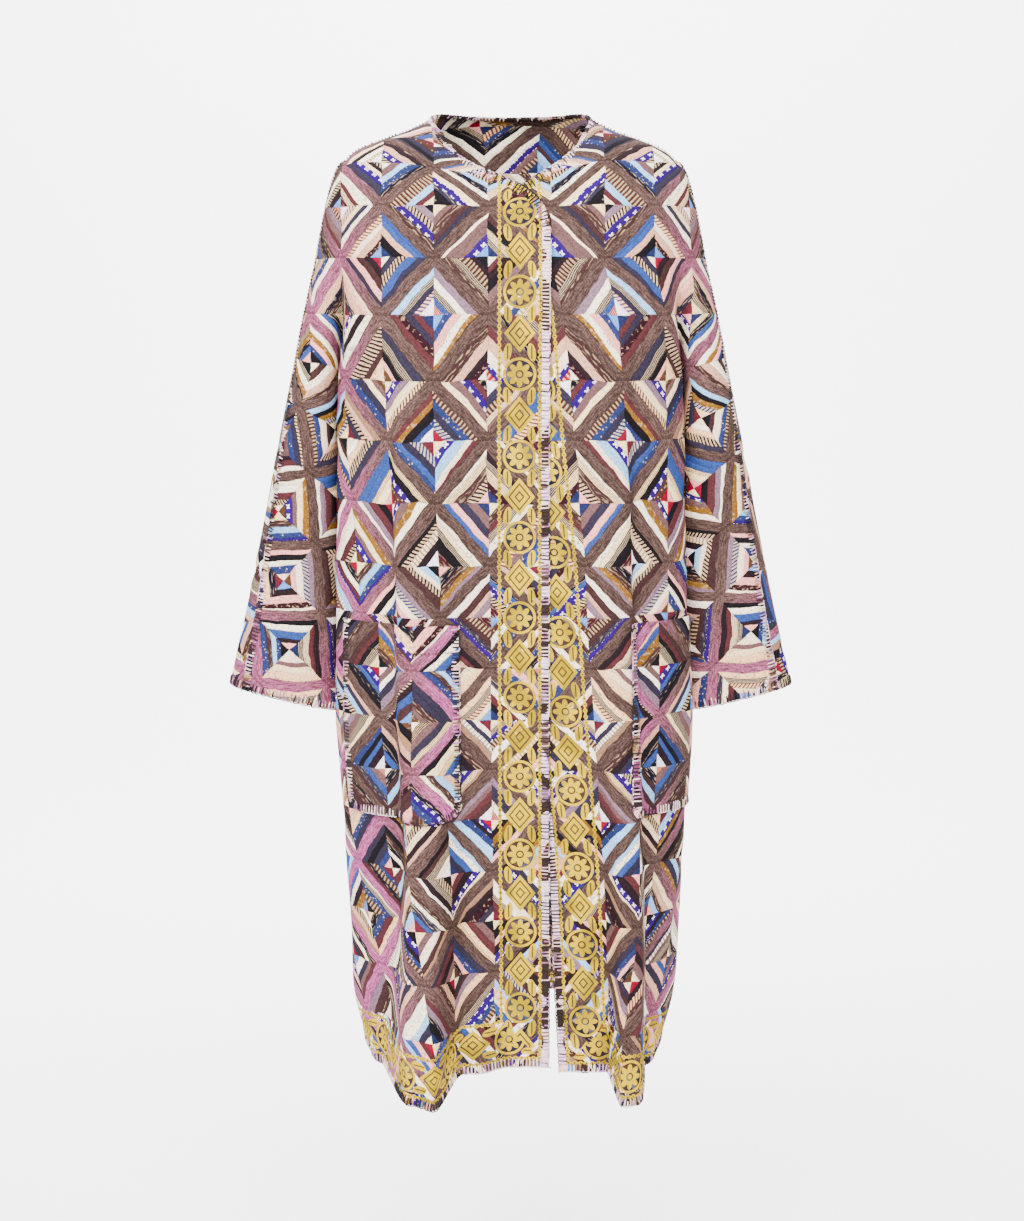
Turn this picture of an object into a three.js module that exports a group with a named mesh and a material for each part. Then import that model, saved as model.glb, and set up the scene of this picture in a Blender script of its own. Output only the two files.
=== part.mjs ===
// Patchwork coat of kimono cut, held open and hollow as it is worn.
// Each front is cut in one with the front of its sleeve, and the back with the backs of both.
// Millimetres, +Z up, the front faces -Y, and the origin lies between the two neck points.
import * as THREE from "three";

// Cloth and seams
const WALL = 2;
const SEAM_PULL = 0.2;
const POCKET_CLEARANCE = 0.5;

// Heights
const CHEST_Z = -170;
const CREASE_TOP_Z = -135;
const UNDERARM_Z = -330;
const CUFF_Z = -681;
const HEM_RIGHT_FRONT_Z = -1099;
const HEM_LEFT_FRONT_Z = -1105;
const HEM_SIDE_Z = -1110;
const HEM_BACK_Z = -1092;
const HEM_RISE = 160;
const POCKET_TOP_Z = -576;
const POCKET_BOTTOM_Z = -801;

// Shoulders and armholes
const NECK_HALF = 94;
const SHOULDER_TIP_X = 194;
const ARMHOLE_X = 196;
const UNDERARM_DEPTH = 2.8;
const SLEEVE_SQUARENESS = 2.2;

// How early the columns beside the neckline spread out: less is earlier
const NECK_SPREAD = 0.6;
const QUARTER_TURN = 90;

// The lap: the front that lies underneath steps back from the one on top
const LAP_STEP = 3.6;
const LAP_STEP_FROM = 58;
const LAP_STEP_TO = 105;
const EDGE_SPREAD_TO = 98;

// Folds stand straight out of the middle of the body, and square to the cloth at its sides
const STRAIGHT_OUT_TO = 140;
const ROUND_OUT_FROM = 195;
const HEM_FOLD_DROP = 0.22;
const HEM_SIDE_SHARPNESS = 3;

// Lengths round the body, along the cloth from the centre front or back: true up to the first,
// and scaled beyond it so that the side seam is at the second on every level
const TRUE_GIRTH = 150;
const SIDE_GIRTH = 290;

// Colours of the cloth, the mean of its prints
const FRONT_COLOUR = 0xb59a98;
const BACK_COLOUR = 0xb09694;
const POCKET_COLOUR = 0xc0a5a4;
const CLOTH_ROUGHNESS = 0.9;

// The body's ring, as shares of its half width and of its depth to the front or back; a named
// share is in the levels' table
const BODY_RING = [
  { corner: "centre front", across: 0, along: -1 },
  { corner: "breast", across: 0.5, along: -1 },
  { corner: "front quarter", across: 0.85, along: -0.75 },
  { corner: "front fold", across: "fold", along: -0.42 },
  { corner: "side seam", across: "side", along: 0 },
  { corner: "back fold", across: 0.99, along: 0.46 },
  { corner: "back quarter", across: 0.84, along: 0.78 },
  { corner: "back blade", across: 0.48, along: 1 },
  { corner: "centre back", across: 0, along: 1 },
];

// The ring round body and arms together, above the underarm
const ARM_RING = [
  { corner: "centre front", across: 0, along: -1 },
  { corner: "breast", across: 0.42, along: -0.98 },
  { corner: "chest side", across: 0.72, along: -0.8 },
  { corner: "upper arm front", across: 0.91, along: -0.46 },
  { corner: "overarm", across: 1, along: 0 },
  { corner: "upper arm back", across: 0.91, along: 0.46 },
  { corner: "shoulder blade side", across: 0.72, along: 0.82 },
  { corner: "shoulder blade", across: 0.42, along: 1 },
  { corner: "centre back", across: 0, along: 0.97 },
];

// Sizes of the rings, a row for each level: the body's half width, the shares of it at the
// front fold and the side seam, the half width over the arms, how far the body hangs to the
// wearer's left, and the depths to the front and back
const BODY_LEVELS = [
  { z: -170, half: 198, fold: 1, side: 0.96, arms: 230, middle: 0, front: 121, back: 104 },
  { z: -245, half: 199, fold: 1, side: 0.94, arms: 247.5, middle: 0, front: 125, back: 112 },
  { z: -330, half: 201, fold: 1, side: 0.925, arms: 265, middle: 0, front: 128, back: 117 },
  { z: -480, half: 204, fold: 1, side: 0.92, arms: 296, middle: 1, front: 131, back: 121 },
  { z: -620, half: 207, fold: 1, side: 0.93, arms: 322, middle: 2, front: 132, back: 122 },
  { z: -700, half: 209, fold: 1, side: 0.945, arms: 338, middle: 3, front: 133, back: 123 },
  { z: -790, half: 204, fold: 1, side: 0.98, arms: 350, middle: 4, front: 134, back: 124 },
  { z: -950, half: 195, fold: 1, side: 0.98, arms: 370, middle: 5, front: 134, back: 126 },
  { z: -1040, half: 190, fold: 1, side: 0.98, arms: 380, middle: 4, front: 134, back: 128 },
  { z: -1120, half: 185, fold: 0.91, side: 0.98, arms: 390, middle: 3, front: 134, back: 130 },
];

// The sleeve's ring, a row for each level: inner and outer edge, depth from front to back,
// tilt of the ring, and how far the overarm seam lies in front of the outer edge
const SLEEVE_LEVELS = [
  { z: -170, inner: 192, outer: 230, deep: 150, tilt: 0, seamTurn: 22 },
  { z: -330, inner: 198, outer: 265, deep: 132, tilt: 0, seamTurn: 34 },
  { z: -450, inner: 198, outer: 289, deep: 98, tilt: 0.08, seamTurn: 38 },
  { z: -570, inner: 201, outer: 313, deep: 78, tilt: 0.17, seamTurn: 42 },
  { z: -681, inner: 206, outer: 337.5, deep: 66, tilt: 0.245, seamTurn: 44 },
];

// How far the seam lies in front of the arms' ring at the chest, along the cloth
const CHEST_SEAM_FORWARD = 12;

// The shoulder's ridge from the neck point to the shoulder tip
const RIDGE = [
  { x: 94, z: -3 },
  { x: 104, z: -7.5 },
  { x: 120, z: -15 },
  { x: 150, z: -25.5 },
  { x: 180, z: -38 },
  { x: 194, z: -51 },
];

// The necklines from the neck point to the front edges: the turn from the ridge down to the
// chest in degrees, and the share of the way across that the neckline has come by then
const OVER_NECKLINE = [
  { turn: 0, reach: 0 },
  { turn: 17, reach: 0.03 },
  { turn: 34, reach: 0.11 },
  { turn: 47, reach: 0.34 },
  { turn: 56, reach: 0.7 },
  { turn: 65, reach: 0.92 },
  { turn: 76, reach: 1 },
  { turn: 90, reach: 1 },
];
const UNDER_NECKLINE = [
  { turn: 0, reach: 0 },
  { turn: 17, reach: 0.03 },
  { turn: 34, reach: 0.11 },
  { turn: 47, reach: 0.34 },
  { turn: 56, reach: 0.62 },
  { turn: 65, reach: 0.85 },
  { turn: 76, reach: 1 },
  { turn: 90, reach: 1 },
];

// The back of the neck, from the centre to the neck point
const BACK_NECK = [
  { x: 0, y: 58, z: 4.5 },
  { x: 50, y: 53, z: 5.5 },
  { x: 82, y: 35, z: 6.5 },
  { x: 92, y: 15, z: 2.5 },
  { x: 94, y: 0, z: -3 },
];

// The front edges down the body, from the centre front towards the panel's own side: of the
// wearer's right front, which lies on top, and of the left front beneath it
const OVER_EDGE = [
  { z: -165, x: -44 },
  { z: -620, x: -41.5 },
  { z: -860, x: -39.5 },
  { z: -1105, x: -41 },
];
const UNDER_EDGE = [
  { z: -165, x: -25 },
  { z: -227, x: -9 },
  { z: -368, x: 3 },
  { z: -502, x: 16 },
  { z: -628, x: 24 },
  { z: -750, x: 32 },
  { z: -876, x: 41 },
  { z: -1003, x: 47.5 },
  { z: -1105, x: 54.5 },
];

// Folds, a row for each level of one: where its crest is along the cloth from the centre front
// or centre back, its width on the inner and outer side, the share of that which is flat, how
// far it stands out, and how far its crest leans outwards
const RIGHT_FRONT_FOLDS = [
  [
    { z: -200, at: 118, inner: 60, outer: 24, flat: 0.3, out: 0, lean: 0 },
    { z: -420, at: 116, inner: 58, outer: 25, flat: 0.3, out: 12, lean: 7 },
    { z: -640, at: 109, inner: 56, outer: 27, flat: 0.3, out: 20, lean: 9 },
    { z: -850, at: 102, inner: 52, outer: 32, flat: 0.3, out: 38, lean: 10 },
    { z: -1000, at: 104, inner: 48, outer: 46, flat: 0.3, out: 62, lean: 6 },
    { z: -1120, at: 103, inner: 44, outer: 66, flat: 0.25, out: 82, lean: 0 },
  ],
  [
    { z: -800, at: 58, inner: 55, outer: 60, flat: 0.3, out: 0, lean: 0 },
    { z: -1120, at: 58, inner: 55, outer: 60, flat: 0.3, out: 14, lean: 0 },
  ],
];
const LEFT_FRONT_FOLDS = [
  [
    { z: -220, at: 124, inner: 56, outer: 20, flat: 0.3, out: 0, lean: 0 },
    { z: -420, at: 124, inner: 54, outer: 20, flat: 0.3, out: 9, lean: 4 },
    { z: -640, at: 126, inner: 46, outer: 20, flat: 0.3, out: 17, lean: 6 },
    { z: -850, at: 133, inner: 38, outer: 22, flat: 0.35, out: 36, lean: 6 },
    { z: -1000, at: 137, inner: 31, outer: 24, flat: 0.42, out: 57, lean: 3 },
    { z: -1120, at: 138, inner: 27, outer: 28, flat: 0.42, out: 79, lean: 0 },
  ],
];
const BACK_FOLDS = [
  [
    { z: -420, at: 44, inner: 44, outer: 44, flat: 0.3, out: 0, lean: 0 },
    { z: -800, at: 46, inner: 44, outer: 44, flat: 0.3, out: 12, lean: 0 },
    { z: -1120, at: 48, inner: 44, outer: 44, flat: 0.3, out: 32, lean: 0 },
  ],
  [
    { z: -560, at: 134, inner: 40, outer: 40, flat: 0.3, out: 0, lean: 0 },
    { z: -860, at: 136, inner: 42, outer: 42, flat: 0.3, out: 16, lean: 0 },
    { z: -1120, at: 138, inner: 44, outer: 44, flat: 0.3, out: 46, lean: 0 },
  ],
];

// Rows of the cloth: turns over the shoulder in degrees, then heights down body and sleeve
const SHOULDER_TURNS = [0, 17, 34, 47, 56, 65, 76, 90];
const CHEST_ROWS = [-210, -250, -290, UNDERARM_Z];
const BODY_ROWS = [
  -372, -414, -456, -497, -537, POCKET_TOP_Z, -612, -649, -687, -725, -763, POCKET_BOTTOM_Z,
  -838, -875, -912, -948, -984, -1018, -1050, -1080, -1110,
];
const SLEEVE_ROWS = [-372, -414, -456, -497, -537, -576, -612, -649, CUFF_Z];

// Columns of the cloth: lengths from the centre front or back to the side seam
const RIGHT_FRONT_COLUMNS = [
  -44, -18, 8, 34, 48, 61, 72, 83, 94, 105, 116, 127, 138, 150, 168, 188, 207, 222, 240, 264,
  SIDE_GIRTH,
];
const LEFT_FRONT_COLUMNS = [
  25, 46, 66, 84, 98, 109, 117, 125, 132, 140, 149, 158, 172, 190, 207, 222, 240, 256, 275,
  SIDE_GIRTH,
];
const BACK_COLUMNS = [0, 26, 52, 80, 108, 140, 172, 204, 230, 252, 270, SIDE_GIRTH];
const BACK_NECK_COLUMNS = 3;
const SLEEVE_COLUMNS = 8;
const RIGHT_POCKET_COLUMNS = [61, 207];
const LEFT_POCKET_COLUMNS = [132, 275];

// Samples between two corners of a ring, and the place of its outermost corner
const RING_SAMPLES = 40;
const OUTER_CORNER = 4;

const WELD_STEPS_PER_MM = 100;

function smoothstep(from, to, value) {
  return THREE.MathUtils.smoothstep((value - from) / (to - from), 0, 1);
}

// A table's column at any place, along smooth curves through its rows
function fromTable(table, place, key, column) {
  const order = Math.sign(table[table.length - 1][place] - table[0][place]);
  return (value) => {
    const last = table.length - 1;
    let i = 0;
    while (i < last - 1 && (value - table[i + 1][place]) * order > 0) {
      i += 1;
    }
    const slope = (k) => {
      const a = table[Math.max(k - 1, 0)];
      const b = table[Math.min(k + 1, last)];
      return (b[column] - a[column]) / (b[place] - a[place]);
    };
    const low = table[i];
    const high = table[i + 1];
    const span = high[place] - low[place];
    const t = THREE.MathUtils.clamp((value - low[place]) / span, 0, 1);
    const t2 = t * t;
    const t3 = t2 * t;
    return (
      (2 * t3 - 3 * t2 + 1) * low[column] +
      (t3 - 2 * t2 + t) * slope(i) * span +
      (3 * t2 - 2 * t3) * high[column] +
      (t3 - t2) * slope(i + 1) * span
    );
  };
}

function columnsOf(table, place) {
  const names = Object.keys(table[0]).filter((name) => name !== place);
  return Object.fromEntries(names.map((name) => [name, fromTable(table, place, name, name)]));
}

const body = columnsOf(BODY_LEVELS, "z");
const sleeve = columnsOf(SLEEVE_LEVELS, "z");
const ridge = columnsOf(RIDGE, "x");
const backNeck = new THREE.CatmullRomCurve3(
  BACK_NECK.map(({ x, y, z }) => new THREE.Vector3(x, y, z)),
);

// A closed ring seen from above, whose points are found by their length from the centre front
function makeRing(corners, half, z) {
  const row = corners.map(({ across, along }) => {
    const share = typeof across === "string" ? body[across](z) : across;
    const depth = along < 0 ? body.front(z) : body.back(z);
    return new THREE.Vector3(share * half, along * depth, 0);
  });
  const mirrored = row.slice(1, -1).reverse().map((p) => new THREE.Vector3(-p.x, p.y, 0));
  const curve = new THREE.CatmullRomCurve3([...row, ...mirrored], true, "centripetal");
  const points = curve.getPoints(RING_SAMPLES * (row.length + mirrored.length));
  const lengths = [0];
  for (let i = 1; i < points.length; i += 1) {
    lengths.push(lengths[i - 1] + points[i].distanceTo(points[i - 1]));
  }
  const total = lengths[lengths.length - 1];
  const lengthTo = (corner) => lengths[RING_SAMPLES * corner];
  const at = (length) => {
    const wanted = THREE.MathUtils.euclideanModulo(length, total);
    let low = 0;
    let high = points.length - 1;
    while (high - low > 1) {
      const middle = (low + high) >> 1;
      if (lengths[middle] > wanted) {
        high = middle;
      } else {
        low = middle;
      }
    }
    const t = (wanted - lengths[low]) / (lengths[high] - lengths[low]);
    return points[low].clone().lerp(points[high], t);
  };
  const pastArmhole = (p) => p.x >= ARMHOLE_X;
  const armholeFront = lengths[points.findIndex(pastArmhole)];
  const armholeBack = lengths[points.findLastIndex(pastArmhole)];
  return { at, lengthTo, armholeFront, armholeBack, half: total / 2 };
}

const rings = new Map();
function ringsAt(z) {
  if (!rings.has(z)) {
    const bodyRing = makeRing(BODY_RING, body.half(z), z);
    const armRing = makeRing(ARM_RING, body.arms(z), z);
    rings.set(z, { bodyRing, armRing });
  }
  return rings.get(z);
}

// A crest with a flat top and rounded feet
function crest(t, flat) {
  return 1 - smoothstep(flat, 1, Math.abs(t));
}

// How far the folds move a point of the cloth, out of the ring and along it
function foldShift(folds, z, length) {
  let out = 0;
  let lean = 0;
  for (const levels of folds) {
    const fold = columnsOf(levels, "z");
    const away = length - fold.at(z);
    const rise = crest(away / (away < 0 ? fold.inner(z) : fold.outer(z)), fold.flat(z));
    out += Math.max(fold.out(z), 0) * rise;
    lean += fold.lean(z) * rise;
  }
  return { out, lean };
}

// Share of the way from one smooth ring to parted body and sleeve
function parting(z) {
  return smoothstep(CREASE_TOP_Z, UNDERARM_Z, z);
}

// The length along a ring that a column's length stands for, where its side seam is at ringSide
function ringLength(length, ringSide) {
  const beyond = Math.max(length - TRUE_GIRTH, 0);
  const stretch = (ringSide - TRUE_GIRTH) / (SIDE_GIRTH - TRUE_GIRTH);
  return Math.min(length, TRUE_GIRTH) + beyond * stretch;
}

// A point of the body's cloth on its own side, seen from above
function bodyPoint(panel, z, length) {
  const { bodyRing, armRing } = ringsAt(z);
  const isFront = panel.facing < 0;
  const sideLength = bodyRing.lengthTo(OUTER_CORNER);
  const ringSide = isFront ? sideLength : bodyRing.half - sideLength;
  const along = ringLength(length, ringSide);
  const fromFront = (ring, l) => (isFront ? ring.at(l) : ring.at(ring.half - l));
  const parted = fromFront(bodyRing, along);
  const joinedSide = isFront ? armRing.armholeFront : armRing.half - armRing.armholeBack;
  const point = fromFront(armRing, ringLength(length, joinedSide)).lerp(parted, parting(z));
  const ahead = fromFront(bodyRing, along + 1);
  const behind = fromFront(bodyRing, along - 1);
  const tangent = ahead.sub(behind).normalize();
  const outward = new THREE.Vector3(-tangent.y, tangent.x, 0).multiplyScalar(isFront ? -1 : 1);
  const facing = new THREE.Vector3(0, panel.facing, 0);
  const roundness = smoothstep(STRAIGHT_OUT_TO, ROUND_OUT_FROM, Math.abs(parted.x));
  const outwardOfFold = facing.lerp(outward, roundness);
  const { out, lean } = foldShift(panel.folds, z, length);
  const step = panel.lapStep * (1 - smoothstep(LAP_STEP_FROM, LAP_STEP_TO, length));
  point.addScaledVector(outwardOfFold, out).addScaledVector(outward, -step);
  return point.addScaledVector(tangent, lean).setX(point.x + body.middle(z) * panel.side);
}

// Where the crease between body and sleeve is deepest
function creasePoint(panel, z) {
  const { armRing } = ringsAt(z);
  const joined = armRing.at(panel.facing < 0 ? armRing.armholeFront : armRing.armholeBack);
  const bodySide = body.half(z) * body.side(z) + body.middle(z) * panel.side;
  const bottom = (bodySide + sleeve.inner(z)) / 2;
  const share = parting(z);
  const x = THREE.MathUtils.lerp(joined.x, bottom, share);
  const y = THREE.MathUtils.lerp(joined.y, UNDERARM_DEPTH * panel.facing, share);
  return new THREE.Vector3(x, y, z);
}

function power(value, exponent) {
  return Math.sign(value) * Math.abs(value) ** exponent;
}

// A point of the sleeve's cloth: share 0 is the underarm seam and 1 the overarm seam
function sleevePoint(panel, z, share) {
  const inner = sleeve.inner(z);
  const outer = sleeve.outer(z);
  const seamTurn = sleeve.seamTurn(z) * (panel.facing < 0 ? 1 : -1);
  const turn = THREE.MathUtils.degToRad(THREE.MathUtils.lerp(180, seamTurn, share));
  const roundness = 2 / SLEEVE_SQUARENESS;
  const middle = (inner + outer) / 2;
  const x = middle + ((outer - inner) / 2) * power(Math.cos(turn), roundness);
  const y = panel.facing * (sleeve.deep(z) / 2) * power(Math.sin(turn), roundness);
  const parted = new THREE.Vector3(x, y, z + sleeve.tilt(z) * (x - middle));
  if (z <= UNDERARM_Z) {
    return parted;
  }
  const { armRing } = ringsAt(z);
  const from = panel.facing < 0 ? armRing.armholeFront : armRing.armholeBack;
  const seam = armRing.lengthTo(OUTER_CORNER) - CHEST_SEAM_FORWARD;
  const joined = armRing.at(THREE.MathUtils.lerp(from, seam, share)).setZ(z);
  return joined.lerp(parted, parting(z));
}

function hemHeight(panel, point) {
  const side = Math.min(Math.abs(point.x) / body.half(HEM_SIDE_Z), 1);
  return THREE.MathUtils.lerp(panel.hem, HEM_SIDE_Z, side ** HEM_SIDE_SHARPNESS);
}

// The cloth below the chest line, at a row's height and a column's length round the body
function lowerBodyPoint(panel, z, length) {
  const point = bodyPoint(panel, z, length);
  const { out } = foldShift(panel.folds, z, length);
  const lowest = BODY_ROWS[BODY_ROWS.length - 1];
  const drop = hemHeight(panel, point) - lowest - HEM_FOLD_DROP * out;
  return point.setZ(z + drop * smoothstep(lowest + HEM_RISE, lowest, z));
}

// Where a panel's column starts at the top: on the shoulder's ridge or at the back of the neck
function topPoint(panel, share, column) {
  if (panel.facing > 0 && column < BACK_NECK_COLUMNS) {
    return backNeck.getPointAt(column / BACK_NECK_COLUMNS);
  }
  const x = THREE.MathUtils.lerp(NECK_HALF, SHOULDER_TIP_X, share);
  return new THREE.Vector3(x, 0, ridge.z(x));
}

// From the top down to the chest line the cloth turns over the shoulder
function shoulderPoint(top, chest, turn, reach) {
  const angle = THREE.MathUtils.degToRad(turn);
  const x = THREE.MathUtils.lerp(top.x, chest.x, reach);
  const y = THREE.MathUtils.lerp(top.y, chest.y, Math.sin(angle));
  const z = THREE.MathUtils.lerp(top.z, chest.z, 1 - Math.cos(angle));
  return new THREE.Vector3(x, y, z);
}

// One half of the cloth's outer skin, as rows of points over the body and over the sleeve
function panelRows(panel) {
  const columns = panel.columns;
  const last = columns.length - 1;
  const lengthAt = (z, i) => {
    if (!panel.edge || columns[i] >= EDGE_SPREAD_TO) {
      return columns[i];
    }
    const share = (columns[i] - columns[0]) / (EDGE_SPREAD_TO - columns[0]);
    return THREE.MathUtils.lerp(panel.edge.x(z), EDGE_SPREAD_TO, share);
  };
  const chestBody = columns.map((_, i) => {
    if (i === last) {
      return creasePoint(panel, CHEST_Z);
    }
    return bodyPoint(panel, CHEST_Z, lengthAt(CHEST_Z, i)).setZ(CHEST_Z);
  });
  const chestSleeve = [];
  for (let k = 0; k <= SLEEVE_COLUMNS; k += 1) {
    chestSleeve.push(sleevePoint(panel, CHEST_Z, k / SLEEVE_COLUMNS));
  }
  chestSleeve[0] = chestBody[last];
  const first = panel.facing < 0 ? 0 : BACK_NECK_COLUMNS;
  const bodyRows = [];
  const sleeveRows = [];
  for (const turn of SHOULDER_TURNS) {
    bodyRows.push(
      columns.map((_, i) => {
        const share = Math.max(columns[i] - columns[first], 0) / (columns[last] - columns[first]);
        const top = topPoint(panel, share, i);
        const straight = turn / QUARTER_TURN;
        const reach = panel.facing < 0
          ? THREE.MathUtils.lerp(panel.neckline.reach(turn), straight, share ** NECK_SPREAD)
          : straight;
        return shoulderPoint(top, chestBody[i], turn, reach);
      }),
    );
    const tip = topPoint(panel, 1, last);
    const reach = turn / QUARTER_TURN;
    sleeveRows.push(chestSleeve.map((chest) => shoulderPoint(tip, chest, turn, reach)));
  }
  for (const z of CHEST_ROWS) {
    const bodyRow = columns.map((_, i) => bodyPoint(panel, z, lengthAt(z, i)).setZ(z));
    bodyRow[last] = creasePoint(panel, z);
    bodyRows.push(bodyRow);
    const row = [];
    for (let k = 0; k <= SLEEVE_COLUMNS; k += 1) {
      row.push(k === 0 ? creasePoint(panel, z) : sleevePoint(panel, z, k / SLEEVE_COLUMNS));
    }
    sleeveRows.push(row);
  }
  const joinedRows = bodyRows.length;
  for (const z of BODY_ROWS) {
    bodyRows.push(columns.map((_, i) => lowerBodyPoint(panel, z, lengthAt(z, i))));
  }
  for (const z of SLEEVE_ROWS) {
    const row = [];
    for (let k = 0; k <= SLEEVE_COLUMNS; k += 1) {
      row.push(sleevePoint(panel, z, k / SLEEVE_COLUMNS));
    }
    sleeveRows.push(row);
  }
  return { bodyRows, sleeveRows, joinedRows };
}

// A skin: points, faces, and for each point on a cut edge the point that it is pulled towards
class Skin {
  constructor() {
    this.points = [];
    this.faces = [];
    this.pulls = new Map();
    this.ridge = new Set();
    this.creases = new Map();
  }

  addRow(row) {
    const start = this.points.length;
    this.points.push(...row);
    return row.map((_, i) => start + i);
  }

  // A turned quad is cut along its other diagonal
  addQuad(a, b, c, d, flip, turned) {
    for (const [p, q, r] of turned ? [[a, b, d], [b, c, d]] : [[a, b, c], [a, c, d]]) {
      if (p !== q && q !== r && p !== r) {
        this.faces.push(flip ? [p, r, q] : [p, q, r]);
      }
    }
  }
}

// Adds one half of a panel to a skin; a mirrored half shares its first column with the other
function addHalf(skin, panel, sharedColumn) {
  const { columns } = panel;
  const { bodyRows, sleeveRows, joinedRows } = panelRows(panel);
  const place = (row) => row.map((p) => new THREE.Vector3(p.x * panel.side, p.y, p.z));
  const flip = panel.side * panel.facing < 0;
  const bodyIds = bodyRows.map((row, j) => {
    if (!sharedColumn) {
      return skin.addRow(place(row));
    }
    return [sharedColumn[j], ...skin.addRow(place(row.slice(1)))];
  });
  const last = bodyIds[0].length - 1;
  const sleeveIds = sleeveRows.map((row, j) => {
    if (j === 0) {
      return row.map(() => bodyIds[0][last]);
    }
    if (j < joinedRows) {
      return [bodyIds[j][last], ...skin.addRow(place(row.slice(1)))];
    }
    return skin.addRow(place(row));
  });
  for (let j = 0; j + 1 < bodyIds.length; j += 1) {
    for (let i = 0; i < last; i += 1) {
      const turned = panel.pocket && columns[i + 1] === panel.pocket[1];
      const [upper, lower] = [bodyIds[j], bodyIds[j + 1]];
      skin.addQuad(upper[i], upper[i + 1], lower[i + 1], lower[i], flip, turned);
    }
  }
  for (let j = 0; j + 1 < sleeveIds.length; j += 1) {
    const upper = sleeveIds[j];
    const lower = sleeveIds[j + 1];
    for (let k = 0; k < SLEEVE_COLUMNS; k += 1) {
      skin.addQuad(upper[k], upper[k + 1], lower[k + 1], lower[k], flip);
    }
    skin.pulls.set(lower[SLEEVE_COLUMNS], lower[SLEEVE_COLUMNS - 1]);
    if (j + 1 >= joinedRows) {
      skin.pulls.set(lower[0], lower[1]);
    }
  }
  const outward = new THREE.Vector3(0, panel.facing, 0);
  CHEST_ROWS.forEach((z, row) => {
    const id = bodyIds[SHOULDER_TURNS.length + row][last];
    skin.creases.set(id, { outward, share: parting(z) });
  });
  bodyIds[0].forEach((id, i) => {
    if (panel.facing < 0 || i >= BACK_NECK_COLUMNS) {
      skin.pulls.set(id, bodyIds[1][i]);
      skin.ridge.add(id);
    }
  });
  for (let j = joinedRows; j < bodyIds.length; j += 1) {
    skin.pulls.set(bodyIds[j][last], bodyIds[j][last - 1]);
  }
  return bodyIds;
}

function placeKey(point) {
  return [point.x, point.y, point.z].map((value) => Math.round(value * WELD_STEPS_PER_MM)).join(" ");
}

// Outward directions, shared where two skins meet at a seam
function findNormals(skins) {
  const sums = new Map();
  for (const skin of skins) {
    for (const [a, b, c] of skin.faces) {
      const [p, q, r] = [a, b, c].map((id) => skin.points[id]);
      const normal = q.clone().sub(p).cross(r.clone().sub(p));
      for (const point of [p, q, r]) {
        const key = placeKey(point);
        const sum = sums.get(key) ?? new THREE.Vector3();
        sums.set(key, sum.add(normal));
      }
    }
  }
  for (const skin of skins) {
    skin.normals = skin.points.map((point, id) => {
      const normal = (sums.get(placeKey(point)) ?? new THREE.Vector3(0, 0, 1)).clone();
      if (skin.ridge.has(id)) {
        normal.y = 0;
      }
      normal.normalize();
      const crease = skin.creases.get(id);
      return crease ? normal.lerp(crease.outward, crease.share).normalize() : normal;
    });
  }
}

// Closes a skin into a wall whose faces lie at two distances outside the skin
function makeWall(points, normals, faces, innerShift, outerShift) {
  const shifted = (shift) => points.map((p, i) => p.clone().addScaledVector(normals[i], shift));
  const all = [...shifted(outerShift), ...shifted(innerShift)];
  const count = points.length;
  const triangles = [];
  const borders = new Map();
  for (const [a, b, c] of faces) {
    triangles.push(a, b, c, a + count, c + count, b + count);
    for (const [from, to] of [[a, b], [b, c], [c, a]]) {
      if (!borders.delete(`${to} ${from}`)) {
        borders.set(`${from} ${to}`, [from, to]);
      }
    }
  }
  for (const [from, to] of borders.values()) {
    triangles.push(from, from + count, to, to, from + count, to + count);
  }
  const geometry = new THREE.BufferGeometry();
  const coordinates = all.flatMap((p) => p.toArray());
  geometry.setAttribute("position", new THREE.Float32BufferAttribute(coordinates, 3));
  geometry.setIndex(triangles);
  geometry.computeVertexNormals();
  return geometry;
}

function pullSeams(skin) {
  const pulled = skin.points.map((p) => p.clone());
  for (const [id, towards] of skin.pulls) {
    const direction = skin.points[towards].clone().sub(skin.points[id]).normalize();
    pulled[id].addScaledVector(direction, SEAM_PULL);
  }
  return pulled;
}

// A pocket over a front's points, between two columns and two rows, without its lower corners
function pocketWall(panel, skin, bodyIds) {
  const rows = [...SHOULDER_TURNS, ...CHEST_ROWS, ...BODY_ROWS];
  const [top, bottom] = [POCKET_TOP_Z, POCKET_BOTTOM_Z].map((z) => rows.lastIndexOf(z));
  const [inner, outer] = panel.pocket.map((length) => panel.columns.indexOf(length));
  const ids = [];
  for (let j = top; j <= bottom; j += 1) {
    const cut = j === bottom ? 1 : 0;
    ids.push(...bodyIds[j].slice(inner + cut, outer + 1 - cut));
  }
  const places = new Map(ids.map((id, place) => [id, place]));
  const faces = skin.faces
    .filter((face) => face.every((id) => places.has(id)))
    .map((face) => face.map((id) => places.get(id)));
  const points = ids.map((id) => skin.points[id]);
  const normals = ids.map((id) => skin.normals[id]);
  return makeWall(points, normals, faces, POCKET_CLEARANCE, POCKET_CLEARANCE + WALL);
}

function clothMesh(name, geometry, colour) {
  const look = { color: colour, roughness: CLOTH_ROUGHNESS, metalness: 0 };
  const material = new THREE.MeshStandardMaterial(look);
  const mesh = new THREE.Mesh(geometry, material);
  mesh.name = name;
  return mesh;
}

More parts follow.
